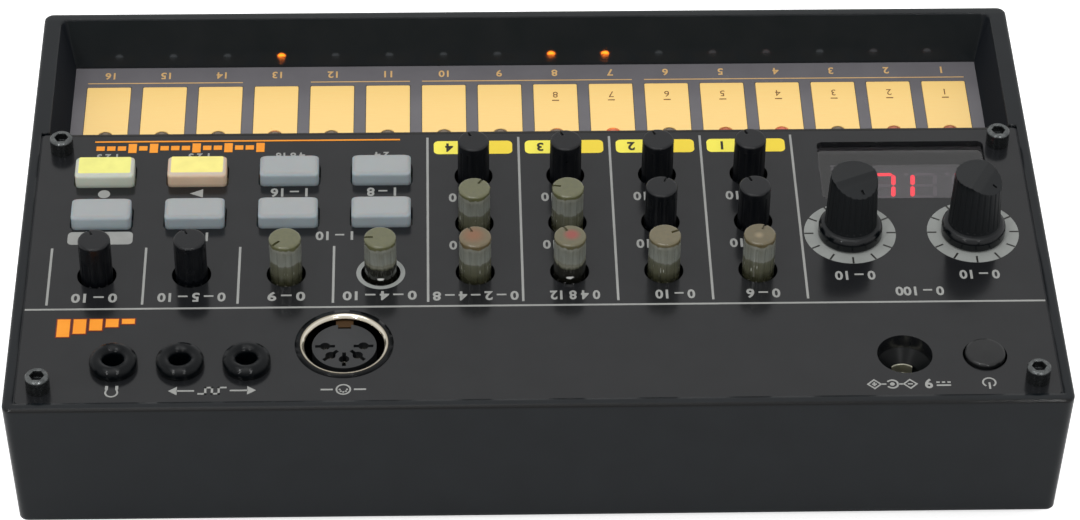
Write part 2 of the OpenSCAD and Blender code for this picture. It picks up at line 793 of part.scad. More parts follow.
module control_panel() {
    low = panel_bot - 1;
    cut = panel_t + 2;
    color(panel_grey) difference() {
        plate(-panel_x, panel_x, panel_front, panel_rear, panel_bot, panel_top, 0.8);
        for (p = knobs_xy) at(p, low) cylinder(r = knob_hole_r, h = cut);
        for (p = dials_xy) at(p, low) cylinder(r = bush_r + bush_gap, h = cut);
        for (p = buttons_xy) at(p, low) linear_extrude(cut)
            round_rect(button_w + 2 * button_gap, button_d + 2 * button_gap, button_r + button_gap);
        at(display_xy, low) linear_extrude(cut) round_rect(display_w, display_d, 1.2);
        for (p = jacks_xy) at(p, low) cylinder(r = neck_r + 0.1, h = cut);
        at(din_xy, low) cylinder(r = din_sleeve_r + 0.1, h = cut, $fn = 64);
        at(inlet_xy, low) cylinder(r = inlet_r, h = cut, $fn = 64);
        at(power_xy, low) cylinder(r = power_r + power_gap, h = cut);
        for (p = screws_xy) at(p, low) cylinder(r = screw_r + 0.2, h = cut);
    }
}

module panel_screws() {
    color([0.16, 0.16, 0.17]) for (p = screws_xy) difference() {
        union() {
            at(p, panel_top) cylinder(r = screw_head_r, h = screw_head_h - screw_edge);
            at(p, panel_top + screw_head_h - screw_edge - eps)
                cylinder(r1 = screw_head_r, r2 = screw_head_r - screw_edge, h = screw_edge + eps);
            at(p, board_top + 1) cylinder(r = screw_r, h = panel_top - board_top - 1 + eps);
        }
        at(p, panel_top + screw_head_h - socket_depth)
            cylinder(r = socket_flats / sqrt(3), h = 2 * socket_depth, $fn = 6);
    }
}

// ---------- knobs ----------

// Direction that a knob points at a setting from 0 to 1, from +X
function pointer(t) = 270 - (360 - knob_sweep) / 2 - knob_sweep * t;

// A small knob: a fluted cap with a groove that points, on a spindle
module small_knob(p, t, paint) {
    top = panel_top + knob_h;
    flute_r = 0.4;
    flute_bot = panel_top - 0.5;
    color(paint) at(p) rotate([0, 0, pointer(t)]) difference() {
        union() {
            translate([0, 0, knob_bot]) cylinder(r = knob_r, h = top - knob_bot - knob_edge + eps);
            rotate_extrude() polygon(concat([[0, top - knob_edge]],
                [for (a = [0:22.5:90])
                    [knob_r - knob_edge * (1 - cos(a)), top - knob_edge * (1 - sin(a))]],
                [[0, top]]));
            translate([0, 0, pot_top - spindle_l + run_gap])
                cylinder(r = spindle_r, h = spindle_l + 1);
        }
        for (i = [0:knob_flutes - 1]) rotate([0, 0, (i + 0.5) * 360 / knob_flutes])
            translate([knob_r + flute_r - 0.12, 0, flute_bot])
                cylinder(r = flute_r, h = knob_h - 1, $fn = 16);
        translate([knob_r * 0.45, -0.25, top - 0.5]) cube([knob_r, 0.5, 1]);
    }
}

// A dial knob: a skirt, a fluted body that tapers, and a facet that points
module dial_knob(p, t) {
    bottom = panel_top + dial_gap;
    body_h = panel_top + dial_h - bottom;
    lean = atan((dial_base_r - dial_top_r) / (body_h - dial_skirt_h));
    color([0.12, 0.125, 0.13]) at(p, bottom) rotate([0, 0, pointer(t)]) difference() {
        union() {
            rotate_extrude() polygon(concat([[0, 0], [dial_skirt_r, 0]],
                [for (a = [0:15:90]) [dial_base_r + (dial_skirt_r - dial_base_r) * cos(a),
                    dial_skirt_h / 2 + dial_skirt_h / 2 * sin(a)]],
                [[0, dial_skirt_h]]));
            translate([0, 0, dial_skirt_h - eps])
                cylinder(r1 = dial_base_r, r2 = dial_top_r, h = body_h - dial_skirt_h + eps);
        }
        for (i = [0:23]) rotate([0, 0, (i + 0.5) * 15]) translate([dial_base_r + 0.2, 0, dial_skirt_h])
            rotate([0, -lean, 0]) translate([0, 0, 0.6]) cylinder(r = 0.32, h = body_h, $fn = 16);
        translate([facet_start, -dial_base_r, body_h]) rotate([0, facet_slope, 0])
            cube([2 * dial_base_r, 2 * dial_base_r, dial_base_r]);
        // Notch near the facet's outer edge
        translate([facet_start, 0, body_h]) rotate([0, facet_slope, 0])
            translate([dial_top_r - notch_inset, -notch_w / 2, -notch_w])
                cube([notch_l, notch_w, 2 * notch_w]);
        // Bore with a flat for the shaft, seen from the knob's own zero
        rotate([0, 0, -pointer(t)]) difference() {
            translate([0, 0, -1])
                cylinder(r = shaft_r + run_gap, h = shaft_grip + shaft_floor + 1);
            translate([-shaft_r - 1, shaft_flat + run_gap, 2 * flat_low])
                cube([2 * shaft_r + 2, shaft_r, 2 * shaft_grip]);
        }
    }
}

// ---------- buttons ----------

// A button: a moulded cap, a flange under the panel and a stem over its switch
module button(p, paint) {
    round_top = 0.5;
    stem_top = panel_bot - button_gap;
    stem_bot = key_top + key_stem_h + button_travel + key_play;
    color(paint) at(p) {
        hull() {
            translate([0, 0, panel_top - 1]) linear_extrude(button_h + 1 - round_top)
                round_rect(button_w, button_d, button_r);
            translate([0, 0, panel_top + button_h - eps]) linear_extrude(eps)
                round_rect(button_w - 2 * round_top, button_d - 2 * round_top, button_r);
        }
        translate([0, 0, stem_top - flange_t + eps])
            linear_extrude(panel_top - stem_top + flange_t - 1)
            round_rect(button_w - 0.2, button_d - 0.2, button_r);
        translate([0, 0, stem_top - flange_t]) linear_extrude(flange_t)
            round_rect(button_w + 2 * (button_gap + flange_w), button_d + 2 * (button_gap + flange_w),
                button_r);
        translate([0, 0, stem_bot])
            cylinder(r = key_stem_r - key_play, h = stem_top - flange_t - stem_bot + eps);
    }
}

// ---------- display ----------

module display_window() {
    color([0.2, 0.19, 0.2], 0.7) at(display_xy, panel_bot) linear_extrude(panel_t - window_depth)
        round_rect(display_w - 2 * window_gap, display_d - 2 * window_gap, 1.2 - window_gap);
}

module display_module() {
    color([0.1, 0.1, 0.1]) difference() {
        block(display_xy, display_w - 1, display_d - 2, board_top, panel_bot);
        // Face of the four figures, sunk under the window
        block([display_xy[0], display_xy[1] + 1], display_w - 5, display_d - 7, panel_bot - 0.5,
            panel_bot + 1);
    }
}

// ---------- sockets ----------

// A small socket: a rounded nut over the panel, a neck and a body
module mini_jack(p) {
    top = panel_top + nut_h;
    color([0.07, 0.075, 0.08]) at(p) difference() {
        union() {
            rotate_extrude() polygon(concat([[0, panel_top], [nut_r, panel_top]],
                [for (a = [0:15:90])
                    [nut_r - nut_edge * (1 - cos(a)), top - nut_edge * (1 - sin(a))]],
                [for (a = [90:-15:0])
                    [jack_bore_r + bore_edge * (1 - cos(a)), top - bore_edge * (1 - sin(a))]],
                [[0, top - bore_edge]]));
            translate([0, 0, panel_bot - eps]) cylinder(r = neck_r, h = panel_t + 2 * eps);
            block([0, 0], jack_w, jack_d, board_top, panel_bot);
        }
        translate([0, 0, top - jack_bore_l]) cylinder(r = jack_bore_r, h = jack_bore_l + 1);
    }
}

// The round socket's body: a cup through the panel, with a thin brim over it
module din_boss() {
    color([0.09, 0.09, 0.1]) at(din_xy) difference() {
        union() {
            translate([0, 0, panel_top]) cylinder(r = din_boss_r, h = din_boss_h, $fn = 64);
            translate([0, 0, board_top])
                cylinder(r = din_sleeve_r, h = panel_top - board_top + eps, $fn = 64);
        }
        translate([0, 0, din_floor])
            cylinder(r = din_shell_r + thread_gap, h = 2 * din_boss_r, $fn = 64);
    }
}

module din_shell() {
    ring_top = panel_top + din_ring_h - din_floor;
    color([0.85, 0.83, 0.8]) at(din_xy, din_floor) difference() {
        cylinder(r = din_shell_r, h = ring_top, $fn = 64);
        translate([0, 0, -1])
            cylinder(r = din_shell_r - din_shell_t, h = 2 * din_boss_r, $fn = 64);
        // The mouth flares out to a thin lip
        translate([0, 0, ring_top - din_flare_h]) cylinder(r1 = din_shell_r - din_shell_t - eps,
            r2 = din_shell_r - din_lip, h = din_flare_h + eps, $fn = 64);
    }
}

// Places its children at the five contacts, on the back half of the insert
module din_fan() {
    for (i = [0:4]) rotate([0, 0, i * 45]) translate([din_pin_circle, 0, 0]) children();
}

module din_insert() {
    color([0.22, 0.23, 0.235]) at(din_xy) difference() {
        translate([0, 0, din_floor]) cylinder(r = din_insert_r, h = din_face - din_floor, $fn = 64);
        translate([0, 0, din_face - din_slot_depth]) din_fan() {
            cylinder(r = din_slot_r, h = din_slot_depth + 1, $fn = 16);
            translate([-din_slot_l / 2, -din_slot_w / 2, 0])
                cube([din_slot_l, din_slot_w, din_slot_depth + 1]);
        }
        translate([-din_key_w / 2, -din_insert_r - 1, din_face - din_key_h])
            cube([din_key_w, din_key_d + 1, din_key_h + 1]);
    }
}

module din_contacts() {
    color([0.85, 0.75, 0.5]) at(din_xy, din_face - din_slot_depth) din_fan() difference() {
        cylinder(r = din_pin_r, h = din_pin_l, $fn = 16);
        translate([0, 0, 1]) cylinder(r = din_pin_bore_r, h = din_pin_l, $fn = 16);
    }
}

module power_inlet() {
    color([0.08, 0.08, 0.085]) at(inlet_xy) difference() {
        block([0, 0], inlet_w, inlet_w, board_top, panel_bot);
        translate([0, 0, panel_bot - inlet_funnel])
            cylinder(r1 = barrel_r, r2 = inlet_r, h = inlet_funnel + eps);
        translate([0, 0, inlet_floor]) cylinder(r = barrel_r, h = panel_bot - inlet_floor);
    }
}

module inlet_contacts() {
    leaf_r = barrel_r - run_gap;
    color([0.7, 0.68, 0.55]) at(inlet_xy, inlet_floor) {
        cylinder(r = inlet_pin_r, h = inlet_pin_l);
        translate([0, 0, inlet_pin_l - eps])
            cylinder(r1 = inlet_pin_r, r2 = inlet_pin_r / 2, h = inlet_tip_l);
        // Leaf against the front of the barrel
        intersection() {
            difference() {
                cylinder(r = leaf_r, h = leaf_l);
                translate([0, 0, -1]) cylinder(r = leaf_r - leaf_t, h = leaf_l + 2);
            }
            translate([-leaf_w / 2, -barrel_r - 1, -1]) cube([leaf_w, leaf_d + 1, leaf_l + 2]);
        }
    }
}

module power_switch() {
    color([0.15, 0.15, 0.15]) difference() {
        block(power_xy, power_body_w, power_body_w, board_top, power_body_top);
        at(power_xy, board_top + shaft_floor)
            cylinder(r = power_stem_r + run_gap, h = power_body_top - board_top);
    }
}

module power_button() {
    crown = 0.5;
    stem_bot = board_top + shaft_floor + power_travel + pot_gap;
    color([0.2, 0.205, 0.21]) at(power_xy) {
        translate([0, 0, panel_bot - 0.5]) cylinder(r = power_r, h = panel_t + power_h + 0.5 - crown);
        rotate_extrude() polygon(concat([[0, panel_top + power_h - crown - eps]],
            [for (a = [0:15:90]) [power_r - crown * (1 - cos(a)),
                panel_top + power_h - crown * (1 - sin(a)) - eps]],
            [[0, panel_top + power_h + 0.1]]));
        translate([0, 0, stem_bot]) cylinder(r = power_stem_r, h = panel_bot - stem_bot);
    }
}

black_knob = [0.13, 0.13, 0.14];
clear_knob = [0.5, 0.5, 0.4];
clear_key = [0.66, 0.68, 0.7];
lit_key = [0.95, 0.92, 0.5];

case_shell();
base_plate();
battery_cover();
battery_contacts();
rubber_feet();
base_screws();
control_panel();
panel_screws();
touch_overlay();
touch_pads();
step_lights();
touch_board();
main_board();
board_link();
display_window();
display_module();
speaker();
knob_pots();
knob_lamps();
dial_pots();
dial_shaft(dials_xy[0]);  // depth_shaft
dial_shaft(dials_xy[1]);  // time_shaft
dial_knob(dials_xy[0], dial_set[0]);  // depth_dial
dial_knob(dials_xy[1], dial_set[1]);  // time_dial
key_switches();
button(buttons_xy[0], clear_key);  // function_button
button(buttons_xy[1], clear_key);  // mute_button
button(buttons_xy[2], clear_key);  // part_down_button
button(buttons_xy[3], clear_key);  // part_up_button
button(buttons_xy[4], lit_key);  // record_button
button(buttons_xy[5], lit_key);  // play_button
button(buttons_xy[6], clear_key);  // step_button
button(buttons_xy[7], clear_key);  // memory_button
mini_jack(jacks_xy[0]);  // headphone_jack
mini_jack(jacks_xy[1]);  // sync_out_jack
mini_jack(jacks_xy[2]);  // sync_in_jack
din_boss();
din_shell();
din_insert();
din_contacts();
power_inlet();
inlet_contacts();
power_switch();
power_button();
small_knob(knobs_xy[0], left_set[0], black_knob);  // volume_knob
small_knob(knobs_xy[1], left_set[1], black_knob);  // level_knob
small_knob(knobs_xy[2], left_set[2], clear_knob);  // tempo_knob
small_knob(knobs_xy[3], left_set[3], clear_knob);  // speed_knob
small_knob(knobs_xy[4], hat_set[2], clear_knob);  // hat_back_knob
small_knob(knobs_xy[5], hat_set[1], clear_knob);  // hat_middle_knob
small_knob(knobs_xy[6], hat_set[0], black_knob);  // hat_front_knob
small_knob(knobs_xy[7], tom_set[2], clear_knob);  // tom_back_knob
small_knob(knobs_xy[8], tom_set[1], clear_knob);  // tom_middle_knob
small_knob(knobs_xy[9], tom_set[0], black_knob);  // tom_front_knob
small_knob(knobs_xy[10], snare_set[2], clear_knob);  // snare_back_knob
small_knob(knobs_xy[11], snare_set[1], black_knob);  // snare_middle_knob
small_knob(knobs_xy[12], snare_set[0], black_knob);  // snare_front_knob
small_knob(knobs_xy[13], kick_set[2], clear_knob);  // kick_back_knob
small_knob(knobs_xy[14], kick_set[1], black_knob);  // kick_middle_knob
small_knob(knobs_xy[15], kick_set[0], black_knob);  // kick_front_knob
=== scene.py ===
"""Looks of a compact battery drum machine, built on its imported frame.

Places are in millimetres and become metres where a mesh is made. +X is the player's right, +Y the back with
the sockets, and Z counts up from the surface that the machine stands on.
"""

import math

import bmesh
import bpy
from mathutils import Matrix, Vector


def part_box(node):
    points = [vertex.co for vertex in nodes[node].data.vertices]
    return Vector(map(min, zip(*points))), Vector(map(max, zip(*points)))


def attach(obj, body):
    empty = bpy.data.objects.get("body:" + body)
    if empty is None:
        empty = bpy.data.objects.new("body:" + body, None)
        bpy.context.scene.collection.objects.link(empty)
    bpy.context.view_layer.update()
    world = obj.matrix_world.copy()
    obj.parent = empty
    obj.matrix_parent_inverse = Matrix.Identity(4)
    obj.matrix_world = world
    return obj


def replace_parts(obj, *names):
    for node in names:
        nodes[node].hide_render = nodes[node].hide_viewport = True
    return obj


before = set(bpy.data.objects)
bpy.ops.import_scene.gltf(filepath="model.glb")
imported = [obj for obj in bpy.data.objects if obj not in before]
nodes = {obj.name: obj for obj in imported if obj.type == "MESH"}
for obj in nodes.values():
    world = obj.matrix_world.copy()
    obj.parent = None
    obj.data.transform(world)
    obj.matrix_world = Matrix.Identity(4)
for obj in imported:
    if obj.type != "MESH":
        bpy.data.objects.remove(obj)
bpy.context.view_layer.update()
scene = bpy.context.scene
MM = 0.001

# ---------- places, in millimetres ----------


def corners(name):
    """Lowest and highest corner of a node."""
    return [[value / MM for value in corner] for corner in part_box(name)]


def middle(name):
    return [(a + b) / 2 for a, b in zip(*corners(name))]


COLUMNS = ["volume_knob", "level_knob", "tempo_knob", "speed_knob", "hat_back_knob", "tom_back_knob",
           "snare_back_knob", "kick_back_knob"]
GROUPS = ["hat", "tom", "snare", "kick"]
DIALS = ["depth_dial", "time_dial"]
LIT_KEYS = ["record_button", "play_button"]
SIDES = (-1, 1)
KNOB_H = 8.9
PAD_COUNT = 16
PAD_WIDTH = 8.7

col_x = [middle(name)[0] for name in COLUMNS]
col_pitch = col_x[0] - col_x[1]
group_x = col_x[-len(GROUPS):]
panel_low, panel_high = corners("control_panel")
panel_top = panel_high[2]
pads_low, pads_high = corners("touch_pads")
pad_pitch = (pads_high[0] - pads_low[0] - PAD_WIDTH) / (PAD_COUNT - 1)
pad_x = [pads_low[0] + PAD_WIDTH / 2 + i * pad_pitch for i in range(PAD_COUNT)]
case_low, case_high = corners("case_shell")
rim = case_high[2]
light_low, light_high = corners("step_lights")
screw_top = corners("panel_screws")[1][2]
dial_top = corners("depth_dial")[1][2]

# ---------- finishes ----------


def shade(value):
    """A grey or colour as the eye reads it, 0 to 255, as the linear light that the shaders use."""
    levels = value if isinstance(value, (tuple, list)) else (value,) * 3
    linear = [v / 255 / 12.92 if v <= 10 else ((v / 255 + 0.055) / 1.055) ** 2.4 for v in levels]
    return (*linear, 1.0)


def grey(level):
    """A linear grey, for ramps that give a mask or a roughness."""
    return (level, level, level, 1.0)


OFF, ON = grey(0.0), grey(1.0)


class Finish:
    """A material: its principled shader, and short ways to join nodes to it."""

    def __init__(self, name, color, rough, **sockets):
        self.material = bpy.data.materials.new(name)
        self.material.use_nodes = True
        self.tree = self.material.node_tree
        self.shader = self.tree.nodes["Principled BSDF"]
        self.set("Base Color", color)
        self.set("Roughness", rough)
        for socket, value in sockets.items():
            self.set(socket.replace("_", " "), value)

    def set(self, socket, value):
        self.shader.inputs[socket].default_value = value

    def add(self, kind, inputs=None, **settings):
        node = self.tree.nodes.new("ShaderNode" + kind)
        for key, value in settings.items():
            setattr(node, key, value)
        for key, value in (inputs or {}).items():
            if isinstance(value, bpy.types.NodeSocket):
                self.tree.links.new(value, node.inputs[key])
            else:
                node.inputs[key].default_value = value
        return node

    def join(self, output, socket):
        self.tree.links.new(output, self.shader.inputs[socket])

    def place(self):
        """Place on the object, in metres."""
        return self.add("TexCoord").outputs["Object"]

    def along(self, axis):
        return self.add("SeparateXYZ", {"Vector": self.place()}).outputs[axis]

    def facing(self, axis):
        """How far the surface faces along an axis, from -1 to 1."""
        return self.add("SeparateXYZ", {"Vector": self.add("NewGeometry").outputs["Normal"]}).outputs[axis]

    def square_to(self, axis):
        """1 where the surface faces either way along an axis, 0 where it doesn't."""
        return self.fit(self.math("ABSOLUTE", self.facing(axis)), 0.3, 0.7, 0.0, 1.0)

    def ray(self, kind):
        """1 for light rays of a kind."""
        return self.add("LightPath").outputs[f"Is {kind} Ray"]

    def distance(self, point, stretch=(1, 1, 1)):
        """Metres from a point given in millimetres, in a space that may be stretched."""
        space = self.add("VectorMath", {0: self.place(), 1: stretch}, operation="MULTIPLY").outputs[0]
        centre = [value * factor * MM for value, factor in zip(point, stretch)]
        return self.add("VectorMath", {0: space, 1: centre}, operation="DISTANCE").outputs[1]

    def noise(self, size_mm, detail, stretch=(1, 1, 1)):
        """Cloudy noise whose blotches are about size_mm across."""
        space = self.add("Mapping", {"Vector": self.place(), "Scale": stretch})
        return self.add("TexNoise", {"Vector": space.outputs[0], "Scale": 1 / (size_mm * MM),
                                     "Detail": detail, "Roughness": 0.55}).outputs[0]

    def fit(self, value, old_low, old_high, low, high, smooth=False):
        kind = "SMOOTHSTEP" if smooth else "LINEAR"
        return self.add("MapRange", {0: value, 1: old_low, 2: old_high, 3: low, 4: high},
                        interpolation_type=kind).outputs[0]

    def cloud(self, low, high, size_mm, detail, stretch=(1, 1, 1)):
        """Noise spread over a range of values."""
        return self.fit(self.noise(size_mm, detail, stretch), 0.3, 0.7, low, high)

    def step(self, axis, start, end, low=0.0, high=1.0):
        """Goes from low to high between two places on an axis, in millimetres."""
        return self.fit(self.along(axis), start * MM, end * MM, low, high)

    def math(self, operation, a, b=0.0):
        return self.add("Math", {0: a, 1: b}, operation=operation).outputs[0]

    def times(self, a, b):
        return self.math("MULTIPLY", a, b)

    def mix(self, factor, a, b):
        return self.add("Mix", {0: factor, 6: a, 7: b}, data_type="RGBA").outputs[2]

    def ramp(self, value, stops, constant=False):
        """Colour by value: stops are (place from 0 to 1, colour)."""
        node = self.add("ValToRGB", {0: value})
        scale = node.color_ramp
        scale.interpolation = "CONSTANT" if constant else "LINEAR"
        while len(scale.elements) > 1:
            scale.elements.remove(scale.elements[-1])
        scale.elements[0].position, scale.elements[0].color = stops[0]
        for position, color in stops[1:]:
            scale.elements.new(position).color = color
        return node.outputs[0]

    def bump(self, height, depth_mm, edge_mm=0.0):
        """Fine relief, and edges that look rounded by edge_mm."""
        inputs = {"Height": height, "Distance": depth_mm * MM, "Strength": 1.0}
        if edge_mm:
            inputs["Normal"] = self.add("Bevel", {"Radius": edge_mm * MM}, samples=4).outputs[0]
        self.join(self.add("Bump", inputs).outputs[0], "Normal")


def plastic(name, dark, light, rough, grain_mm, depth_mm, edge_mm, specular):
    """Moulded plastic: two near tones, smudged gloss and a fine grain."""
    finish = Finish(name, shade(dark), rough, Specular_IOR_Level=specular)
    finish.join(finish.mix(finish.cloud(0.0, 1.0, 6.0, 4), shade(dark), shade(light)), "Base Color")
    finish.join(finish.cloud(rough * 0.8, rough * 1.25, 14.0, 5), "Roughness")
    finish.bump(finish.noise(grain_mm, 2), depth_mm, edge_mm)
    return finish


# Dark and light tone, roughness, size and depth of the grain, rounding of the edges, specular level
PLASTICS = {
    "panel_satin": ((24, 25, 27), (28, 29, 31), 0.17, 0.16, 0.0016, 0.12, 0.33),
    "base_grain": ((24, 25, 26), (31, 32, 33), 0.5, 0.35, 0.03, 0.2, 0.4),
    "strip_grey": ((107, 105, 109), (112, 110, 114), 0.22, 0.2, 0.001, 0.0, 0.3),
    "knob_black": ((5, 7, 11), (9, 11, 15), 0.3, 0.12, 0.003, 0.3, 0.32),
    "socket_gloss": ((3, 6, 9), (6, 9, 12), 0.08, 0.35, 0.001, 1.0, 0.16),
    "inlet_black": ((9, 11, 12), (14, 16, 17), 0.32, 0.3, 0.004, 0.2, 0.12),
    "insert_grey": ((20, 22, 24), (27, 29, 31), 0.5, 0.2, 0.01, 0.08, 0.5),
    "power_key": ((20, 21, 22), (25, 26, 27), 0.22, 0.2, 0.003, 0.3, 0.34),
    "part_black": ((16, 16, 17), (24, 24, 25), 0.5, 0.3, 0.01, 0.05, 0.5),
    "foot_rubber": ((18, 18, 18), (28, 28, 28), 0.75, 0.25, 0.03, 0.1, 0.5),
    "display_black": ((13, 12, 14), (18, 17, 20), 0.45, 0.3, 0.004, 0.0, 0.5),
}


def case_gloss():
    """Gloss black, with duller side walls in the recess. Painted light: the recess is painted paler for the
    sheen its walls reflect and its side walls painted darker as shade; the rim's front edge is a little paler
    as a painted highlight, and its rear edge deep black as painted shade."""
    finish = Finish("gloss_black", shade(22), 0.12, Specular_IOR_Level=0.24)
    recess_side, recess_front, recess_back = 94.0, case_low[1] + 1.2, -20.4
    spread = finish.math("ABSOLUTE", finish.along(0))
    inside = finish.fit(spread, recess_side * MM, (recess_side + 0.4) * MM, 1, 0)
    for axis, start, end in ((1, recess_front, recess_front + 0.2), (1, recess_back, recess_back - 0.2),
                             (2, rim - 0.1, rim - 0.6)):
        inside = finish.times(inside, finish.step(axis, start, end))
    # Mask of the rim's front edge, for a painted highlight
    front = finish.times(finish.step(1, case_low[1] + 2.4, case_low[1] + 1.6),
                         finish.step(2, rim - 0.5, rim - 0.2))
    # Mask of the rim's rear edge, for painted shade
    rear = finish.times(finish.step(1, case_high[1] - 0.55, case_high[1] - 0.35),
                        finish.step(2, rim - 0.75, rim - 0.5))
    side = finish.square_to(0)
    cloud = finish.cloud(0, 1, 7.0, 4)
    shell = finish.mix(cloud, shade((12, 17, 21)), shade((17, 22, 26)))
    # Painted highlight on the rim's front edge, and painted shade along its rear edge
    shell = finish.mix(front, shell, shade((27, 31, 33)))
    shell = finish.mix(rear, shell, shade((1, 2, 3)))
    # Painted sheen: the recess paler than the shell, with its side walls painted darker as shade
    recess = finish.mix(cloud, shade((33, 37, 39)), shade((38, 41, 43)))
    recess = finish.mix(side, recess, shade((4, 10, 18)))
    finish.join(finish.mix(inside, shell, recess), "Base Color")
    smudged = finish.cloud(0.09, 0.15, 14.0, 5)
    change = finish.math("SUBTRACT", finish.fit(side, 0, 1, 0.045, 0.9), smudged)
    finish.join(finish.math("ADD", smudged, finish.times(inside, change)), "Roughness")
    finish.bump(finish.noise(0.9, 2), 0.0008, 0.8)
    return finish.material


def pad_gold():
    """Gilt printing under a clear film, faintly brushed across, with a faint painted glow, and painted darker
    in mirror images as a dimmed reflection.
    """
    finish = Finish("pad_gold", shade((255, 216, 134)), 0.32, Specular_IOR_Level=0.3,
                    Coat_Weight=0.8, Coat_Roughness=0.35)
    brushed = finish.noise(0.3, 3, (0.08, 1, 1))
    gold = finish.mix(finish.fit(brushed, 0.3, 0.7, 0, 1), shade((255, 214, 130)), shade((255, 218, 136)))
    mirrored = finish.ray("Glossy")
    # Painted reflection: the pads are darker in mirror images
    finish.join(finish.mix(mirrored, gold, shade((112, 90, 60))), "Base Color")
    finish.join(finish.fit(brushed, 0.3, 0.7, 0.29, 0.35), "Roughness")
    finish.bump(brushed, 0.0004)
    # Painted glow: the pads emit faintly though they are no lamp, but not in mirror images
    finish.set("Emission Color", shade((255, 206, 130)))
    finish.join(finish.fit(mirrored, 0, 1, 0.09, 0.0), "Emission Strength")
    return finish.material


def dial_black():
    """Satin knob over a glossy skirt."""
    finish = plastic("dial_black", (5, 8, 11), (9, 13, 16), 0.36, 0.1, 0.003, 0.3, 0.3)
    height = finish.step(2, panel_top + 2.6, dial_top - 0.6)
    rough = finish.ramp(height, [(0.0, grey(0.1)), (0.04, grey(0.6)), (0.97, grey(0.6)), (1.0, grey(0.3))])
    finish.join(rough, "Roughness")
    return finish.material


def board_green():
    """Solder mask with the tracks' relief under it."""
    finish = Finish("board_green", shade((16, 66, 42)), 0.3)
    tracks = finish.add("TexBrick", {"Vector": finish.place(), "Scale": 160.0, "Mortar Size": 0.03,
                                     "Color1": shade((14, 62, 40)), "Color2": shade((18, 74, 48)),
                                     "Mortar": shade((30, 98, 62))})
    finish.join(tracks.outputs[0], "Base Color")
    finish.bump(tracks.outputs[1], 0.02)
    return finish.material


def metal(name, color, rough, brush=(1, 1, 1)):
    """Turned or brushed metal with fine lines along one way."""
    finish = Finish(name, shade(color), rough, Metallic=1.0)
    lines = finish.noise(0.2, 4, brush)
    finish.join(finish.fit(lines, 0.3, 0.7, rough * 0.7, rough * 1.4), "Roughness")
    finish.bump(lines, 0.002, 0.08)
    return finish.material


def screw_black():
    """Black oxide, lighter towards bare steel on the rims of the heads: partly wear, partly a painted
    highlight.
    """
    finish = Finish("screw_black", shade((30, 30, 31)), 0.3, Metallic=0.75)
    # Rims of the heads lightened, partly wear and partly a painted highlight on the tops
    wear_and_highlight = finish.fit(finish.noise(0.9, 3), 0.35, 0.65, 0.55, 1)
    wear_and_highlight = finish.times(wear_and_highlight, finish.step(2, screw_top - 0.55, screw_top - 0.1, 0.22))
    finish.join(finish.mix(wear_and_highlight, shade((34, 36, 38)), shade((98, 101, 101))), "Base Color")
    finish.join(finish.cloud(0.2, 0.36, 0.4, 3), "Roughness")
    finish.bump(finish.noise(0.25, 3), 0.004, 0.3)
    return finish.material


def lip_chrome():
    """Chrome of the round socket, with painted shade darkening it down its throat and at its rim."""
    finish = Finish("ring_chrome", shade((222, 214, 200)), 0.1, Metallic=1.0)
    height = finish.step(2, panel_top - 1.0, panel_top + 0.22)
    # Painted shade: darker down the throat and at the rim
    finish.join(finish.ramp(height, [(0.1, shade((24, 20, 16))), (0.35, shade((52, 42, 32))),
                                     (0.52, shade((176, 168, 152))), (0.9, shade((214, 208, 194))),
                                     (0.98, shade((170, 162, 146)))]), "Base Color")
    finish.join(finish.cloud(0.08, 0.18, 2.5, 3), "Roughness")
    finish.bump(finish.noise(1.2, 3), 0.002)
    return finish.material


def smoke():
    """Smoked clear plastic, black at its cut edges."""
    clear = shade((206, 200, 207))
    finish = Finish("smoked_window", clear, 0.0, Transmission_Weight=1.0, IOR=1.45, Coat_Weight=0.35,
                    Coat_Roughness=0.02)
    finish.join(finish.mix(finish.square_to(2), shade((2, 2, 2)), clear), "Base Color")
    finish.bump(finish.noise(3.0, 2), 0.0008, 0.1)
    return finish.material


def glow(name, color, strength, base=None):
    """A lit surface, a little uneven: lamps, segments and windows in keys."""
    finish = Finish(name, base or shade(color), 0.35, Emission_Color=shade(color), Emission_Strength=strength)
    finish.join(finish.cloud(strength * 0.94, strength * 1.05, 2.5, 2), "Emission Strength")
    return finish.material


def ink(name, color):
    """Screen-printed ink: thin, slightly grainy and uneven."""
    low = [max(level - 7, 0) for level in color]
    high = [min(level + 5, 255) for level in color]
    return plastic(name, low, high, 0.45, 0.1, 0.003, 0.0, 0.3).material


def key_rubber(name, top, low, tint=None, glow_strength=0.0):
    """Silicone key: pale on top, bluer towards the panel, its side walls painted lighter for the light they
    miss and darker at their foot as painted shade; lit from inside if it glows.
    """
    finish = Finish(name, shade(top), 0.42, Specular_IOR_Level=0.35, Subsurface_Weight=0.25,
                    Subsurface_Scale=0.0012)
    height = finish.step(2, panel_top - 0.4, panel_top + 2.8)
    patch = finish.cloud(0.0, 0.12, 3.5, 3)
    # Side walls painted lighter than the top for the light they miss, and darker at their foot as painted
    # shade
    painted_side_light = finish.ramp(height, [(0.0, shade([c * 0.8 for c in low])), (0.3, shade(low)),
                                 (0.86, shade(low)), (0.97, shade(top)), (1.0, shade(top))])
    finish.join(finish.mix(patch, painted_side_light, shade([c * 0.9 for c in top])), "Base Color")
    if glow_strength:
        finish.set("Emission Color", shade(tint))
        finish.join(finish.fit(height, 0.0, 1.0, glow_strength * 0.4, glow_strength), "Emission Strength")
    finish.bump(finish.noise(0.3, 2), 0.004, 0.85)
    return finish.material


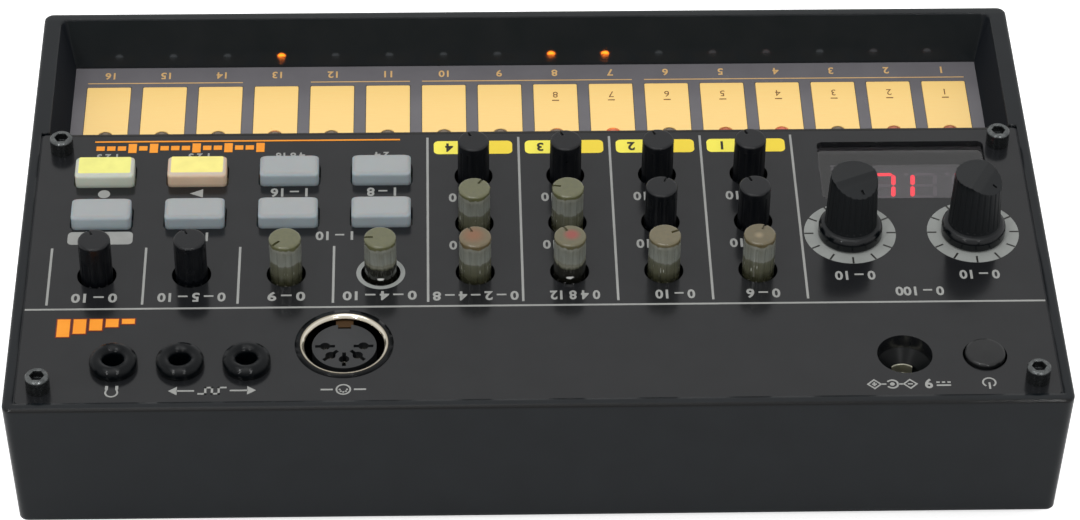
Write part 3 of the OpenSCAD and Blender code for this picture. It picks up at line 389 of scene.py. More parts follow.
def clear_knob(name, cap, x=0.0, y=0.0, spot=None, glint=False):
    """Translucent olive knob round an axis at x, y: a tan cap, a glassy grey-green upper part and a darker
    hollow foot, tones by height that are painted light: paler where light comes through above, a paler band
    under the cap as a painted highlight, and painted shade low down. Painted glints lie on its ribbing. The
    lamp below may
    glow through the cap as a spot: its colour, its shift from the axis, its radius and how soft it is. A dark
    foot may hold painted shade, a pale painted band and one bright painted glint."""
    finish = Finish(name, shade(cap), 0.16, Specular_IOR_Level=0.5, Transmission_Weight=0.12, IOR=1.45,
                    Coat_Weight=0.5, Coat_Roughness=0.06)
    height = finish.math("ADD", finish.step(2, panel_top, panel_top + KNOB_H),
                         finish.cloud(-0.035, 0.035, 1.6, 2, (1, 1, 0.3)))
    # Tones by height, painted light: paler upper part, painted highlight under the cap, painted shade at the
    # foot
    body = finish.ramp(height, [
        (0.0, shade((44, 45, 32))), (0.12, shade((66, 67, 50))), (0.2, shade((92, 93, 74))),
        (0.4, shade((100, 101, 84))), (0.455, shade((108, 109, 94))), (0.49, shade((148, 152, 144))),
        (0.62, shade((140, 144, 136))), (0.8, shade((134, 137, 128))), (0.885, shade((150, 152, 142))),
        (0.915, shade(cap)), (1.0, shade(cap))])
    streaks = finish.fit(finish.noise(0.7, 3, (1, 1, 0.06)), 0.42, 0.62, 0.0, 0.22)
    mottle = finish.fit(finish.noise(1.4, 4), 0.35, 0.65, 0.0, 0.16)
    # Painted glints on the ribbing, low on the body
    rib_glints = finish.fit(finish.noise(0.32, 1, (1, 1, 0.12)), 0.66, 0.72, 0.0, 1.0)
    foot = finish.ramp(height, [(0.0, OFF), (0.2, OFF), (0.25, ON), (0.33, ON), (0.38, OFF)])
    layers = [(streaks, (74, 76, 62)), (mottle, (116, 112, 84)), (finish.times(rib_glints, foot), (214, 216, 206))]
    if glint:
        # Painted shade on the foot, a pale painted band above it and one painted glint
        dark = finish.ramp(height, [(0.0, grey(0.95)), (0.33, grey(0.9)), (0.38, OFF)])
        pale = finish.ramp(height, [(0.37, OFF), (0.41, grey(0.6)), (0.47, grey(0.3)), (0.5, OFF)])
        away = finish.distance((x, y + 3.0, panel_top + 1.0), (0.5, 1.0, 1.3))
        bright = finish.fit(away, 0.3 * MM, 0.45 * MM, 1.0, 0.0, True)
        layers += [(dark, (16, 16, 14)), (pale, (156, 156, 142)), (bright, (250, 250, 246))]
    if spot:
        color, (shift_x, shift_y), radius, soft = spot
        away = finish.distance((x + shift_x, y + shift_y, panel_top + KNOB_H))
        near = finish.fit(away, radius * (1 - soft) * MM, radius * MM, 0.85, 0.0, True)
        on_cap = finish.ramp(height, [(0.0, OFF), (0.88, OFF), (0.93, ON)])
        layers.append((finish.times(near, on_cap), color))
    for factor, color in layers:
        body = finish.mix(factor, body, shade(color))
    finish.join(body, "Base Color")
    finish.bump(finish.noise(0.9, 2), 0.004, 0.22)
    return finish.material


# Steps whose lights shine, and steps whose lenses are warmer than the others
LIT_STEPS = [6, 7, 12]
WARM_STEPS = {0: (186, 112, 80), 1: (186, 108, 76), 3: (226, 116, 84), 4: (196, 108, 66), 6: (232, 126, 82)}
LENS_TINT = (118, 104, 86)


def step_tints(finish):
    """Gives each step its own colour by place along the strip, and returns 1 where a step is lit."""
    index = finish.step(0, pad_x[0] - pad_pitch / 2, pad_x[-1] + pad_pitch / 2)
    tints = [(i / PAD_COUNT, shade(WARM_STEPS.get(i, LENS_TINT))) for i in range(PAD_COUNT)]
    lamps = [(i / PAD_COUNT, ON if i in LIT_STEPS else OFF) for i in range(PAD_COUNT)]
    finish.join(finish.ramp(index, tints, True), "Base Color")
    return finish.ramp(index, lamps, True)


def step_lens():
    """Flat lenses under the domes, some of them warm from the light inside."""
    finish = Finish("step_lens", shade((120, 106, 90)), 0.2, Specular_IOR_Level=0.5)
    step_tints(finish)
    finish.bump(finish.noise(0.6, 2), 0.003)
    return finish.material


def step_dome():
    """Domes of the step lights: three shine towards the player, and all are brighter in mirror images, where
    the dark ones glow grey as a painted highlight.
    """
    finish = Finish("step_dome", shade((150, 140, 130)), 0.12, Specular_IOR_Level=0.6)
    lit = step_tints(finish)
    forward = finish.fit(finish.facing(1), -0.2, -0.8, 0.0, 1.0, True)
    mirrored = finish.ray("Glossy")
    shining = finish.times(finish.times(lit, forward), finish.fit(mirrored, 0, 1, 3.0, 170.0))
    # The dark domes glow grey in mirror images only: a painted highlight
    painted_dome_glint = finish.times(finish.fit(lit, 0, 1, 2.6, 0), finish.times(mirrored, forward))
    finish.join(finish.mix(lit, shade((196, 204, 212)), shade((255, 122, 24))), "Emission Color")
    finish.join(finish.math("ADD", shining, painted_dome_glint), "Emission Strength")
    finish.bump(finish.noise(0.4, 2), 0.004)
    return finish.material


def paint(material, *names):
    """Gives CAD nodes a finish in place of their plain one."""
    for name in names:
        mesh = nodes[name].data
        mesh.materials.clear()
        mesh.materials.append(material)


plain = {name: plastic(name, *values).material for name, values in PLASTICS.items()}
chrome = lip_chrome()
steel = metal("turned_steel", (190, 190, 192), 0.28, (1, 1, 0.1))

paint(case_gloss(), "case_shell")
paint(plain["base_grain"], "base_plate", "battery_cover")
paint(plain["foot_rubber"], "rubber_feet")
paint(metal("zinc_screw", (176, 178, 180), 0.35), "base_screws")
paint(steel, "battery_contacts", "depth_shaft", "time_shaft")
paint(plain["panel_satin"], "control_panel")
paint(screw_black(), "panel_screws")
paint(plain["strip_grey"], "touch_overlay")
paint(pad_gold(), "touch_pads")
paint(step_lens(), "step_lights")
paint(board_green(), "touch_board", "main_board")
paint(smoke(), "display_window")
paint(plain["display_black"], "display_module")
paint(plain["part_black"], "board_link", "knob_pots", "dial_pots", "key_switches", "power_switch", "speaker")
paint(plain["inlet_black"], "power_inlet")
paint(glow("lamp", (250, 250, 240), 0.9), "knob_lamps")
paint(dial_black(), *DIALS)
paint(plain["socket_gloss"], "headphone_jack", "sync_out_jack", "sync_in_jack", "din_boss")
paint(chrome, "din_shell")
paint(plain["insert_grey"], "din_insert")
paint(metal("contact_nickel", (236, 234, 214), 0.42), "inlet_contacts")
paint(metal("contact_dark", (120, 118, 112), 0.25), "din_contacts")
paint(plain["power_key"], "power_button")
paint(key_rubber("key_plain", (165, 169, 170), (172, 184, 190)), "function_button", "mute_button",
      "part_down_button", "part_up_button", "step_button", "memory_button")
paint(key_rubber("key_record", (194, 198, 190), (206, 212, 200), (226, 226, 180), 0.06), "record_button")
paint(key_rubber("key_play", (202, 190, 178), (222, 196, 170), (240, 200, 150), 0.06), "play_button")
paint(plain["knob_black"], "volume_knob", "level_knob", "snare_middle_knob", "kick_middle_knob",
      *[f"{group}_front_knob" for group in GROUPS])

OLIVE = (100, 101, 66)
paint(clear_knob("knob_olive", OLIVE), "tempo_knob", "hat_middle_knob", "tom_middle_knob")
paint(clear_knob("knob_olive_lit", OLIVE, *middle("speed_knob")[:2], glint=True), "speed_knob")
# Colour of the cap, the spot that glows through it, and whether the foot holds painted shade and a painted
# glint
CAPS = {"hat_back_knob": ((110, 94, 62), ((136, 84, 46), (0.3, -0.3), 2.9, 0.9), False),
        "tom_back_knob": ((102, 96, 66), ((156, 56, 48), (-0.3, -0.2), 2.0, 0.8), True),
        "snare_back_knob": ((110, 100, 70), None, False),
        "kick_back_knob": ((104, 92, 62), ((150, 134, 102), (0.2, 0.4), 1.2, 0.9), False)}
for node, (cap, spot, glint) in CAPS.items():
    paint(clear_knob(node.replace("knob", "cap"), cap, *middle(node)[:2], spot, glint), node)

# ---------- pieces ----------


def stand(name, data, body="case"):
    """Puts a mesh into the scene as a piece that rides on a body."""
    piece = bpy.data.objects.new(name, data)
    scene.collection.objects.link(piece)
    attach(piece, body)
    return piece


def mould(name, mesh, material, body="case"):
    """A piece of one material from an edit mesh."""
    data = bpy.data.meshes.new(name)
    mesh.to_mesh(data)
    mesh.free()
    data.materials.append(material)
    return stand(name, data, body)


# ---------- thin printed marks ----------

INK_T = 0.03
FONT_EXTRUDE = 0.02
FIGURE_SHARE = 0.70  # height of a figure as a share of the font's size
TO_METRES = Matrix.Diagonal((MM, MM, MM, 1))


def to_mesh(curve):
    """The mesh that a curve or text makes."""
    carrier = bpy.data.objects.new("carrier", curve)
    scene.collection.objects.link(carrier)
    bpy.context.view_layer.update()
    shape = bpy.data.meshes.new_from_object(carrier.evaluated_get(bpy.context.evaluated_depsgraph_get()))
    bpy.data.objects.remove(carrier)
    bpy.data.curves.remove(curve)
    return shape


def arc(x, y, radius, start, end, count):
    """Points along an arc, angles in degrees."""
    angles = [math.radians(start + (end - start) * i / (count - 1)) for i in range(count)]
    return [(x + radius * math.cos(a), y + radius * math.sin(a)) for a in angles]


def circle(x, y, radius, count=48):
    return arc(x, y, radius, 0, 360 - 360 / count, count)


def band(x, y, outer, inner, start, end):
    """Outline of part of a ring."""
    return arc(x, y, outer, start, end, 40) + arc(x, y, inner, end, start, 40)


def rect(x0, x1, y0, y1, radius=0.0):
    """Outline of a rectangle, with round corners if it has a radius."""
    if not radius:
        return [(x0, y0), (x1, y0), (x1, y1), (x0, y1)]
    middles = [(x1 - radius, y1 - radius), (x0 + radius, y1 - radius), (x0 + radius, y0 + radius),
               (x1 - radius, y0 + radius)]
    return [point for quarter, (cx, cy) in enumerate(middles)
            for point in arc(cx, cy, radius, 90 * quarter, 90 * quarter + 90, 7)]


def block(x, y, half_w, half_h):
    """Outline of a rectangle round its middle."""
    return rect(x - half_w, x + half_w, y - half_h, y + half_h)


def span(a, b, grow=0.0):
    """Two ends in rising order, each moved outwards by grow."""
    return min(a, b) - grow, max(a, b) + grow


def diamond(x, y, half_w, half_h):
    return [(x + half_w, y), (x, y + half_h), (x - half_w, y), (x, y - half_h)]


def stroke(x0, y0, x1, y1, width):
    """Outline of a straight line of some width."""
    along = Vector((x1 - x0, y1 - y0)).normalized() * width / 2
    across = Vector((-along.y, along.x))
    return [(x0 + across.x, y0 + across.y), (x0 - across.x, y0 - across.y), (x1 - across.x, y1 - across.y),
            (x1 + across.x, y1 + across.y)]


class Print:
    """Marks of one ink, gathered into one thin mesh that lies at a level."""

    def __init__(self, level):
        self.level = level
        self.mesh = bmesh.new()

    def take(self, shape, place):
        start = len(self.mesh.verts)
        self.mesh.from_mesh(shape)
        bmesh.ops.transform(self.mesh, matrix=place, verts=self.mesh.verts[start:])
        bpy.data.meshes.remove(shape)

    def shapes(self, *outlines):
        """Filled outlines: one that lies inside another is a hole in it."""
        curve = bpy.data.curves.new("marks", "CURVE")
        curve.dimensions = "2D"
        curve.fill_mode = "BOTH"
        curve.extrude = INK_T / 2
        for outline in outlines:
            spline = curve.splines.new("POLY")
            spline.points.add(len(outline) - 1)
            for point, (x, y) in zip(spline.points, outline):
                point.co = (x, y, 0, 1)
            spline.use_cyclic_u = True
        self.take(to_mesh(curve), TO_METRES @ Matrix.Translation((0, 0, self.level)))

    def figures(self, text, x, y, height, weight=0.03, wide=None):
        """Figures centred on a point, of a given height, and fitted to a width if one is given."""
        curve = bpy.data.curves.new("figures", "FONT")
        curve.body = text
        curve.extrude = FONT_EXTRUDE
        curve.offset = weight
        curve.resolution_u = 3
        shape = to_mesh(curve)
        xs = [vert.co.x for vert in shape.vertices]
        size = height / FIGURE_SHARE
        narrow = wide / (max(xs) - min(xs)) / size if wide else 0.9
        place = (TO_METRES @ Matrix.Translation((x, y - height / 2, self.level))
                 @ Matrix.Diagonal((size * narrow, size, INK_T / FONT_EXTRUDE / 2, 1))
                 @ Matrix.Translation((-(min(xs) + max(xs)) / 2, 0, 0)))
        self.take(shape, place)

    def finish(self, name, material, slot, body="case"):
        mould(name, self.mesh, material, body)


def plate_yellow():
    """Yellow ink, a little warmer towards one end of each plate."""
    finish = plastic("print_yellow", (248, 230, 84), (253, 238, 92), 0.45, 0.1, 0.003, 0.0, 0.3)
    start = (group_x[0] + col_pitch / 2) * MM
    turns = finish.math("DIVIDE", finish.math("SUBTRACT", start, finish.along(0)), col_pitch * MM)
    warm = finish.fit(finish.math("FRACT", turns), 0.35, 0.75, 0.0, 1.0, True)
    finish.join(finish.mix(warm, shade((253, 240, 92)), shade((252, 224, 70))), "Base Color")
    return finish.material


print_dark = ink("print_dark", (26, 24, 22))

# Levels of marks on the panel, and of marks on top of those
ON_PANEL = panel_top + INK_T / 2
ON_MARKS = panel_top + INK_T * 1.5

LABEL = 2.3
SMALL_LABEL = 1.7
LINE_W = 0.45
TOP_LINE_Y = 30.3
# Text, middle and width of the scale under each knob of the back row
SCALES = [("0 – 10", 81.65, 8.5), ("0 – 5 – 10", 63.7, 12.6), ("0 – 9", 46.2, 7.0),
          ("0 – 4 – 10", 28.95, 13.7), ("0 – 2 – 4 – 8", 11.2, 15.9), ("0 4 8 12", -7.2, 9.3),
          ("0 – 10", -25.75, 7.4), ("0 – 6", -42.1, 6.3)]
# Rows of labels: behind the back knobs and the groups' other knobs, behind each row of keys, and at the
# front of the keys
BACK_SCALE_Y = 27.6
GROUP_SCALE_ROWS = (13.4, -0.3)
BACK_KEYS_Y = 10.4
FRONT_KEYS_Y = -2.2
BEFORE_KEYS_Y = -13.1


def panel_lines(marks):
    """The long line behind the knobs and the lines between their columns."""
    half = LINE_W / 2
    marks.shapes(rect(panel_low[0] + 0.1, panel_high[0] - 0.1, TOP_LINE_Y - half, TOP_LINE_Y + half))
    for i in range(len(COLUMNS) + 1):
        x = col_x[0] + col_pitch / 2 - i * col_pitch
        front = 13.3 if i < len(COLUMNS) - len(GROUPS) else -18.2
        marks.shapes(rect(x - half, x + half, front, TOP_LINE_Y - 1.15))


def socket_marks(marks):
    """Standard symbols behind the sockets and the power button."""
    y = 52.4
    half = 0.2
    # Headphones
    x = middle("headphone_jack")[0]
    marks.shapes(band(x, y + 0.25, 1.25, 0.92, -38, 218))
    for side in SIDES:
        marks.shapes(rect(x + side * 0.92 - 0.27, x + side * 0.92 + 0.27, y - 1.5, y - 0.45, 0.12))
    # Clock pulse between the two sync sockets, with an arrow at each
    left, right = middle("sync_in_jack")[0], middle("sync_out_jack")[0]
    centre = (left + right) / 2
    pulse = [(-2.4, -0.8), (-1.2, -0.8), (-1.2, 0.8), (0, 0.8),
             (0, -0.8), (1.2, -0.8), (1.2, 0.8), (2.4, 0.8)]
    for (x0, y0), (x1, y1) in zip(pulse, pulse[1:]):
        marks.shapes(rect(*span(centre + x0, centre + x1, half), *span(y + y0, y + y1, half)))
    for x, side in ((left, -1), (right, 1)):
        marks.shapes(rect(*span(x + side * 0.4, centre + side * 3.2), y - half, y + half))
        marks.shapes([(x + side * 1.9, y), (x + side * 0.3, y + 1.1), (x + side * 0.3, y - 1.1)])
    # Round socket seen from the front: a ring with five contacts
    x = middle("din_shell")[0]
    marks.shapes(circle(x, y, 1.4), circle(x, y, 1.08))
    for i in range(5):
        turn = math.radians(45 * i)
        marks.shapes(circle(x + 0.66 * math.cos(turn), y + 0.66 * math.sin(turn), 0.2, 12))
    for side in SIDES:
        marks.shapes(block(x + side * 3.0, y, 1.1, half))
    # Polarity of the inlet: plus, centre contact, minus
    x = middle("power_inlet")[0] + 3.0
    for side in SIDES:
        sign = x + side * 3.25
        marks.shapes(diamond(sign, y, 1.4, 1.35), diamond(sign, y, 0.98, 0.93))
        marks.shapes(block(sign, y, 0.45, 0.16))
        marks.shapes(rect(*span(x + side * 1.1, x + side * 1.95), y - 0.17, y + 0.17))
    plus = x + 3.25
    marks.shapes(rect(plus - 0.16, plus + 0.16, y + 0.17, y + 0.5))
    marks.shapes(rect(plus - 0.16, plus + 0.16, y - 0.5, y - 0.17))
    marks.shapes(band(x, y, 1.2, 0.84, 35, 325))
    marks.shapes(circle(x, y, 0.45, 16))
    marks.figures("9", x - 6.6, y, LABEL)
    marks.shapes(rect(x - 10.6, x - 8.0, y + 0.25, y + 0.62))
    for i in range(3):
        marks.shapes(rect(x - 10.6 + i * 1.0, x - 10.0 + i * 1.0, y - 0.55, y - 0.18))
    # Power
    x = middle("power_button")[0]
    marks.shapes(band(x, y - 0.2, 1.3, 0.98, 125, 415))
    marks.shapes(rect(x - 0.18, x + 0.18, y - 0.2, y + 1.5))


def panel_figures(marks):
    """Scales, plain numbers and key symbols."""
    for i, (text, x, wide) in enumerate(SCALES):
        y = BACK_SCALE_Y if i >= len(SCALES) - len(GROUPS) else BACK_SCALE_Y - 0.3
        marks.figures(text, x, y, LABEL, wide=wide)
    for x in group_x:
        for y in GROUP_SCALE_ROWS:
            marks.figures("0 – 10", x + 1.0, y, LABEL)
    for name, text, front in (("step_button", "1 – 16", "4 8 16"), ("memory_button", "1 – 8", "2 4")):
        x = middle(name)[0]
        marks.figures(text, x, FRONT_KEYS_Y, LABEL)
        marks.figures(front, x, BEFORE_KEYS_Y, SMALL_LABEL)
    for name in LIT_KEYS:
        marks.figures("1 2 3", middle(name)[0], BEFORE_KEYS_Y, SMALL_LABEL)
    between = (middle("part_down_button")[0] + middle("part_up_button")[0]) / 2
    marks.figures("1 – 10", between, BACK_KEYS_Y, LABEL)
    # Record dot and play triangle
    marks.shapes(circle(middle("record_button")[0], FRONT_KEYS_Y, 1.15))
    x, y = middle("play_button")[0], FRONT_KEYS_Y
    marks.shapes([(x - 1.2, y - 1.2), (x - 1.2, y + 1.2), (x + 1.3, y)])
    # Pill behind the function button, and a number behind the mute button
    x = middle("function_button")[0]
    marks.shapes(rect(x - 6.1, x + 6.1, 8.7, 12.3, 0.9))
    marks.figures("1", middle("mute_button")[0] - 2.4, BACK_KEYS_Y, LABEL)
    dial_x = [middle(name)[0] for name in DIALS]
    for x in dial_x:
        marks.figures("0 – 10", x, 22.9, LABEL)
    marks.figures("0 – 100", sum(dial_x) / 2, 27.4, LABEL)


def panel_print():
    marks = Print(ON_PANEL)
    panel_lines(marks)
    socket_marks(marks)
    panel_figures(marks)
    marks.finish("panel_print", ink("print_grey", (158, 159, 156)), "panel_satin")


def rings():
    """Pale rings round the dials, cut by their scales, and round the speed knob."""
    marks = Print(ON_PANEL)
    ticks = Print(ON_MARKS)
    for name in DIALS:
        x, y, _ = middle(name)
        marks.shapes(circle(x, y, 8.65, 96), circle(x, y, 4.2, 64))
        for i in range(11):
            turn = math.radians(-60 + 30 * i)
            c, s = math.cos(turn), math.sin(turn)
            ticks.shapes(stroke(x + 6.9 * c, y + 6.9 * s, x + 8.62 * c, y + 8.62 * s, 0.34))
    x, y, _ = middle("speed_knob")
    marks.shapes(circle(x, y, 4.55, 72), circle(x, y, 3.68, 72))
    marks.finish("dial_rings", ink("print_ring", (150, 153, 150)), "panel_satin")
    ticks.finish("dial_ticks", print_dark, "panel_satin")


def gap_shade_sheet():
    """Dark grey sheet in the gap between the panel and the rim: painted shade of the gap, softer than the
    bare gap.
    """
    (x0, y0), (x1, y1) = panel_low[:2], panel_high[:2]
    seal = Print(panel_top - 0.25)
    seal.shapes(rect(x0 - 0.4, x1 + 0.4, y0 + 0.02, y1 + 0.4),
                rect(x0 + 0.04, x1 - 0.04, y0 + 0.3, y1 - 0.04))
    seal.finish("gap_shade_sheet", ink("gap_shade_sheet", (40, 42, 45)), "case_black")


def panel_edge_shade():
    """Dark print along the panel's lower edge where it ends over the recess: painted shade of the gap there.
    """
    edge = Print(ON_PANEL)
    edge.shapes(rect(panel_low[0] + 3.4, panel_high[0] - 3.4, panel_low[1] + 0.03, panel_low[1] + 0.55))
    edge.finish("panel_edge_shade", print_dark, "panel_satin")


def orange_marks():
    """Orange line with a row of step blocks behind it, and rising outlined bars near the sockets."""
    marks = Print(ON_MARKS)
    marks.shapes(rect(25.3, 84.1, -17.85, -17.45))
    for i, beat in enumerate("x..x..x...x.x..."):
        left = 51.4 + i * 2.05
        front, back = (-17.0, -14.3) if beat == "x" else (-16.3, -15.0)
        marks.shapes(rect(left, left + 1.6, front, back))
    outlines = Print(ON_PANEL)
    front, wide, line = 33.05, 2.35, 0.22
    for i in range(5):
        left = 73.8 + i * 2.95
        back = 34.4 + 0.85 * i
        outlines.shapes(rect(left - line, left + wide + line, front - line, back + line))
        marks.shapes(rect(left, left + wide, front, back))
    marks.finish("orange_marks", ink("print_orange", (255, 158, 44)), "panel_satin")
    outlines.finish("bar_outlines", ink("print_maroon", (112, 34, 20)), "panel_satin")


def group_plates():
    """Yellow number plates printed at the front of the four knob groups."""
    marks = Print(ON_PANEL)
    numbers = Print(ON_MARKS)
    for i, x in enumerate(group_x):
        marks.shapes(rect(x - 7.57, x + 7.57, -17.1, -13.2, 1.0))
        numbers.figures(str(len(GROUPS) - i), x + 4.6, -15.1, LABEL)
    marks.finish("group_plates", plate_yellow(), "panel_satin")
    numbers.finish("group_numbers", print_dark, "panel_satin")


def strip_marks():
    """Gold numbers and group lines in front of the pads, and dark numbers on the first eight."""
    level = pads_high[2] + INK_T / 2
    marks = Print(level)
    half = PAD_WIDTH / 2
    line_y = pads_low[1] - 1.3
    for first, last in ((0, 5), (6, 9), (10, 11), (13, 15)):
        marks.shapes(rect(pad_x[first] - half, pad_x[last] + half, line_y - 0.12, line_y + 0.12))
    for i, x in enumerate(pad_x):
        marks.figures(str(i + 1), x, line_y - 2.3, 1.95, 0.02)
    marks.finish("strip_marks", ink("print_gold", (226, 184, 124)), "strip_grey")
    dark = Print(level)
    for i, x in enumerate(pad_x[:8]):
        dark.figures(str(i + 1), x, -43.1, 1.8, 0.0)
        dark.shapes(rect(x - 0.7, x + 0.7, -41.5, -41.2))
    dark.finish("pad_numbers", ink("pad_ink", (132, 96, 58)), "pad_gold")


panel_print()
rings()
gap_shade_sheet()
panel_edge_shade()
orange_marks()
group_plates()
strip_marks()

# ---------- lit keys, display and step lights ----------


def key_lights():
    """Bright yellow windows in the tops of the two lit keys."""
    for name, color in zip(LIT_KEYS, ((243, 240, 134), (252, 239, 138))):
        x, y, _ = middle(name)
        light = Print(corners(name)[1][2] + INK_T / 2)
        light.shapes(rect(x - 4.95, x + 4.95, y - 2.45, y + 2.2, 0.3))
        lit = glow(name.replace("button", "lit"), color, 0.82, shade((100, 96, 50)))
        light.finish(name.replace("button", "light"), lit, "key_lit", name)


# Segments that shine in each figure
SHINING = ["def", "bc", "def", "abcdef"]
FIGURE_PITCH = 8.0
FIGURE_Y = -5.75


def segment_outlines(x, y, width, height, thick, lean):
    """The seven segments of a figure centred on a point, leaning to the right."""
    half_w, half_h, tip = width / 2, height / 2, thick / 2
    inset = tip + 0.12
    level = {"a": half_h, "g": 0.0, "d": -half_h}
    upright = {"b": (half_w, 0, half_h), "c": (half_w, -half_h, 0),
               "e": (-half_w, -half_h, 0), "f": (-half_w, 0, half_h)}
    shapes = {}
    for key, v in level.items():
        a, b = -half_w + inset, half_w - inset
        shapes[key] = [(a - tip, v), (a, v + tip), (b, v + tip), (b + tip, v), (b, v - tip), (a, v - tip)]
    for key, (h, v0, v1) in upright.items():
        a, b = v0 + inset, v1 - inset
        shapes[key] = [(h, a - tip), (h - tip, a), (h - tip, b), (h, b + tip), (h + tip, b), (h + tip, a)]
    return {key: [(x + px + py * lean, y + py) for px, py in points] for key, points in shapes.items()}


def display():
    """A red four-figure display under the smoked window, with a dark mask round it."""
    low, high = corners("display_module")
    glass_low, glass_high = corners("display_window")
    mask = Print(glass_low[2] - INK_T / 2)
    mask.shapes(rect(glass_low[0] + 0.1, glass_high[0] - 0.1, glass_low[1] + 0.1, glass_high[1] - 0.1, 1.0),
                rect(low[0] - 0.01, high[0] + 0.01, low[1] - 0.01, high[1] + 0.01))
    mask.finish("display_mask", plain["display_black"], "display_black")
    level = high[2] - 0.5 + INK_T / 2
    lit = Print(level)
    dark = Print(level)
    for i, shining in enumerate(SHINING):
        x = (low[0] + high[0]) / 2 + (i - 1.5) * FIGURE_PITCH
        for key, outline in segment_outlines(x, FIGURE_Y, 4.3, 6.7, 0.85, 0.095).items():
            (lit if key in shining else dark).shapes(outline)
        dark.shapes(circle(x + 3.1, FIGURE_Y - 3.4, 0.45, 16))
    lit.finish("display_lit", glow("segment_lit", (255, 0, 40), 2.0, shade((60, 2, 6))), "display_black")
    dark.finish("display_dark", ink("segment_dark", (92, 88, 92)), "display_black")


def step_domes():
    """Sixteen small domes over the lenses at the back ends of the pads."""
    mesh = bmesh.new()
    radius, high = 0.95, 0.75
    y = (light_low[1] + light_high[1]) / 2
    for x in pad_x:
        made = bmesh.ops.create_uvsphere(mesh, u_segments=20, v_segments=14, radius=radius)["verts"]
        for vert in made:
            vert.co.z = max(vert.co.z, 0.0) * high / radius
        bmesh.ops.translate(mesh, vec=(x, y, light_high[2] - 0.05), verts=made)
    bmesh.ops.remove_doubles(mesh, verts=mesh.verts, dist=1e-4)
    bmesh.ops.scale(mesh, vec=(MM, MM, MM), verts=mesh.verts)
    for facet in mesh.faces:
        facet.smooth = True
    mould("step_domes", mesh, step_dome())


# ---------- round socket and window at their true heights ----------


def lathe(name, x, y, profile, material):
    """A turned piece: the closed profile of (radius, height) points swept round an upright axis."""
    mesh = bmesh.new()
    count = 96
    crease = math.radians(40)
    rows = []
    for i in range(count):
        turn = 2 * math.pi * i / count
        rows.append([mesh.verts.new(((x + r * math.cos(turn)) * MM, (y + r * math.sin(turn)) * MM, z * MM))
                     for r, z in profile])
    for a, b in zip(rows, rows[1:] + rows[:1]):
        for j in range(len(profile)):
            k = (j + 1) % len(profile)
            mesh.faces.new((a[j], b[j], b[k], a[k])).smooth = True
    bmesh.ops.recalc_face_normals(mesh, faces=mesh.faces)
    for edge in mesh.edges:
        edge.smooth = edge.calc_face_angle(0) < crease
    return mould(name, mesh, material)


def new_top(node, name, rise):
    """Stands for a node whose upper end sits higher by rise, or deeper where that is below zero."""
    data = nodes[node].data.copy()
    data.transform(nodes[node].matrix_world)
    top = max(vert.co.z for vert in data.vertices)
    for vert in data.vertices:
        if vert.co.z > top - 0.5 * MM:
            vert.co.z += rise * MM
    data.update()
    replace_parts(stand(name, data), node)


def round_socket():
    """The round socket: black collar, metal shell with a flared mouth, key, and the face inside."""
    x, y, _ = middle("din_shell")
    floor = corners("din_shell")[0][2]
    board = corners("din_boss")[0][2]
    seat = panel_top + 0.01
    brim = panel_top + 0.2
    lip = brim + 0.02
    collar = lathe("din_collar", x, y, [
        (5.7, floor), (8.07, floor), (8.07, brim - 0.03), (8.1, brim), (8.95, brim), (9.02, brim - 0.05),
        (9.05, seat), (8.5, seat), (8.5, board), (5.7, board)], plain["socket_gloss"])
    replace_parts(collar, "din_boss")
    shell = lathe("din_mouth", x, y, [
        (8.05, floor), (8.05, lip - 0.05), (8.02, lip - 0.01), (7.95, lip), (7.85, lip - 0.03),
        (7.7, lip - 0.1), (7.55, lip - 0.21), (7.4, lip - 0.35), (7.28, lip - 0.52), (7.22, lip - 0.7),
        (7.2, lip - 0.95), (7.2, floor)], chrome)
    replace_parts(shell, "din_shell")
    key = bmesh.new()
    bmesh.ops.create_cube(key, size=1.0)
    bmesh.ops.scale(key, vec=(3.2 * MM, 2.0 * MM, 4.0 * MM), verts=key.verts)
    bmesh.ops.translate(key, vec=(x * MM, (y - 6.3) * MM, (panel_top - 2.75) * MM), verts=key.verts)
    mould("din_key", key, metal("key_bronze", (74, 56, 38), 0.5))
    new_top("din_insert", "din_face", -0.45)
    new_top("din_contacts", "din_sleeves", -0.8)


key_lights()
display()
step_domes()
round_socket()
new_top("display_window", "window_plate", 0.85)

# ---------- stage, lights and camera ----------

FLOOR_HALF = 4.0
# Name, place in metres, width in metres and power in watts
LAMPS = [("softbox_above", (0.25, 0.15, 1.6), 1.0, 8.3),
         ("lamp_by_camera", (0.66, 0.96, 1.1), 0.09, 2.0),
         ("lamp_at_side", (-0.36, 1.0, 1.1), 0.1, 2.0)]
CAMERA_PLACE = (0.017136, 0.569887, 0.521816)
CAMERA_TURN = (48.4215, -0.5439, 178.6087)
SENSOR_MM = 36.0
FOCAL_PX = 3951.0
IMAGE_W = 1080


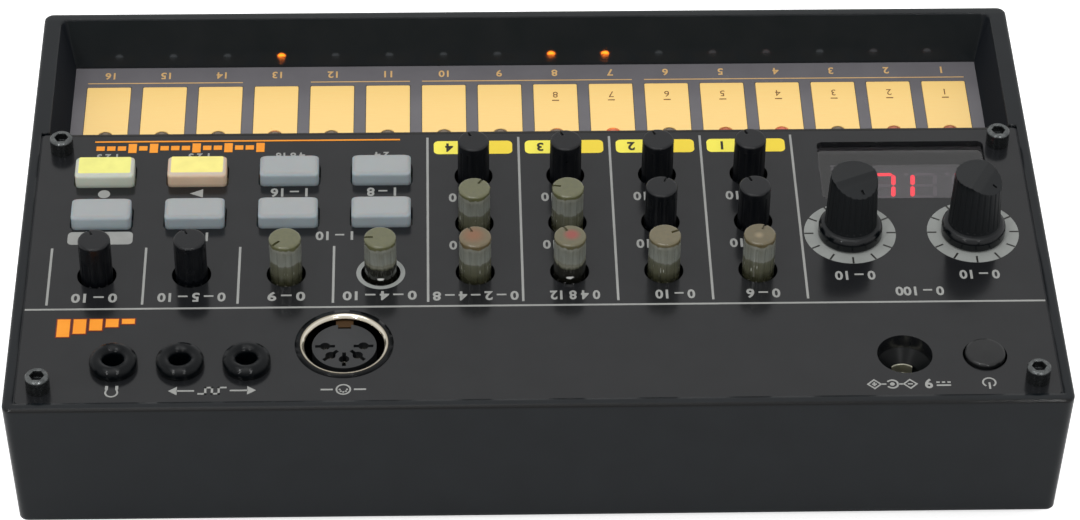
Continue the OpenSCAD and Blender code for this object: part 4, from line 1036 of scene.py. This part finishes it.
def white_to_rays(tree, strength):
    """1 where a camera, glossy or transmission ray looks, else strength."""
    path = tree.nodes.new("ShaderNodeLightPath")
    seen = path.outputs["Is Camera Ray"]
    for name in ("Is Glossy Ray", "Is Transmission Ray"):
        most = tree.nodes.new("ShaderNodeMath")
        most.operation = "MAXIMUM"
        tree.links.new(seen, most.inputs[0])
        tree.links.new(path.outputs[name], most.inputs[1])
        seen = most.outputs[0]
    fit = tree.nodes.new("ShaderNodeMapRange")
    tree.links.new(seen, fit.inputs[0])
    fit.inputs[3].default_value = strength
    fit.inputs[4].default_value = 1.0
    return fit.outputs[0]


def surroundings():
    """White all round, dimmer as a light than it looks."""
    world = bpy.data.worlds.new("studio")
    scene.world = world
    world.use_nodes = True
    background = world.node_tree.nodes["Background"]
    background.inputs[0].default_value = ON
    world.node_tree.links.new(white_to_rays(world.node_tree, 0.6), background.inputs[1])


def white_floor():
    """A floor that catches a shadow, which the camera alone sees paler."""
    finish = Finish("floor_white", shade(250), 0.7, Specular_IOR_Level=0.2)
    finish.set("Emission Color", ON)
    finish.join(finish.times(finish.ray("Camera"), 0.7), "Emission Strength")
    data = bpy.data.meshes.new("floor")
    data.from_pydata([(x, y, 0) for x, y in block(0, 0, FLOOR_HALF, FLOOR_HALF)], [], [(0, 1, 2, 3)])
    data.materials.append(finish.material)
    floor = bpy.data.objects.new("floor", data)
    scene.collection.objects.link(floor)


def lights():
    """Area lights aimed at the machine."""
    for name, place, size, power in LAMPS:
        light = bpy.data.lights.new(name, "AREA")
        light.size = size
        light.energy = power
        lamp = bpy.data.objects.new(name, light)
        lamp.location = place
        lamp.rotation_euler = (Vector((0, 0, 0.02)) - Vector(place)).to_track_quat("-Z", "Y").to_euler()
        scene.collection.objects.link(lamp)


def camera():
    """The photograph's view: from behind and above, with a long lens."""
    data = bpy.data.cameras.new("camera")
    data.sensor_width = SENSOR_MM
    data.lens = FOCAL_PX / IMAGE_W * SENSOR_MM
    view = bpy.data.objects.new("camera", data)
    view.location = CAMERA_PLACE
    view.rotation_euler = [math.radians(a) for a in CAMERA_TURN]
    scene.collection.objects.link(view)
    scene.camera = view


surroundings()
white_floor()
lights()
camera()
scene.view_settings.view_transform = "Standard"
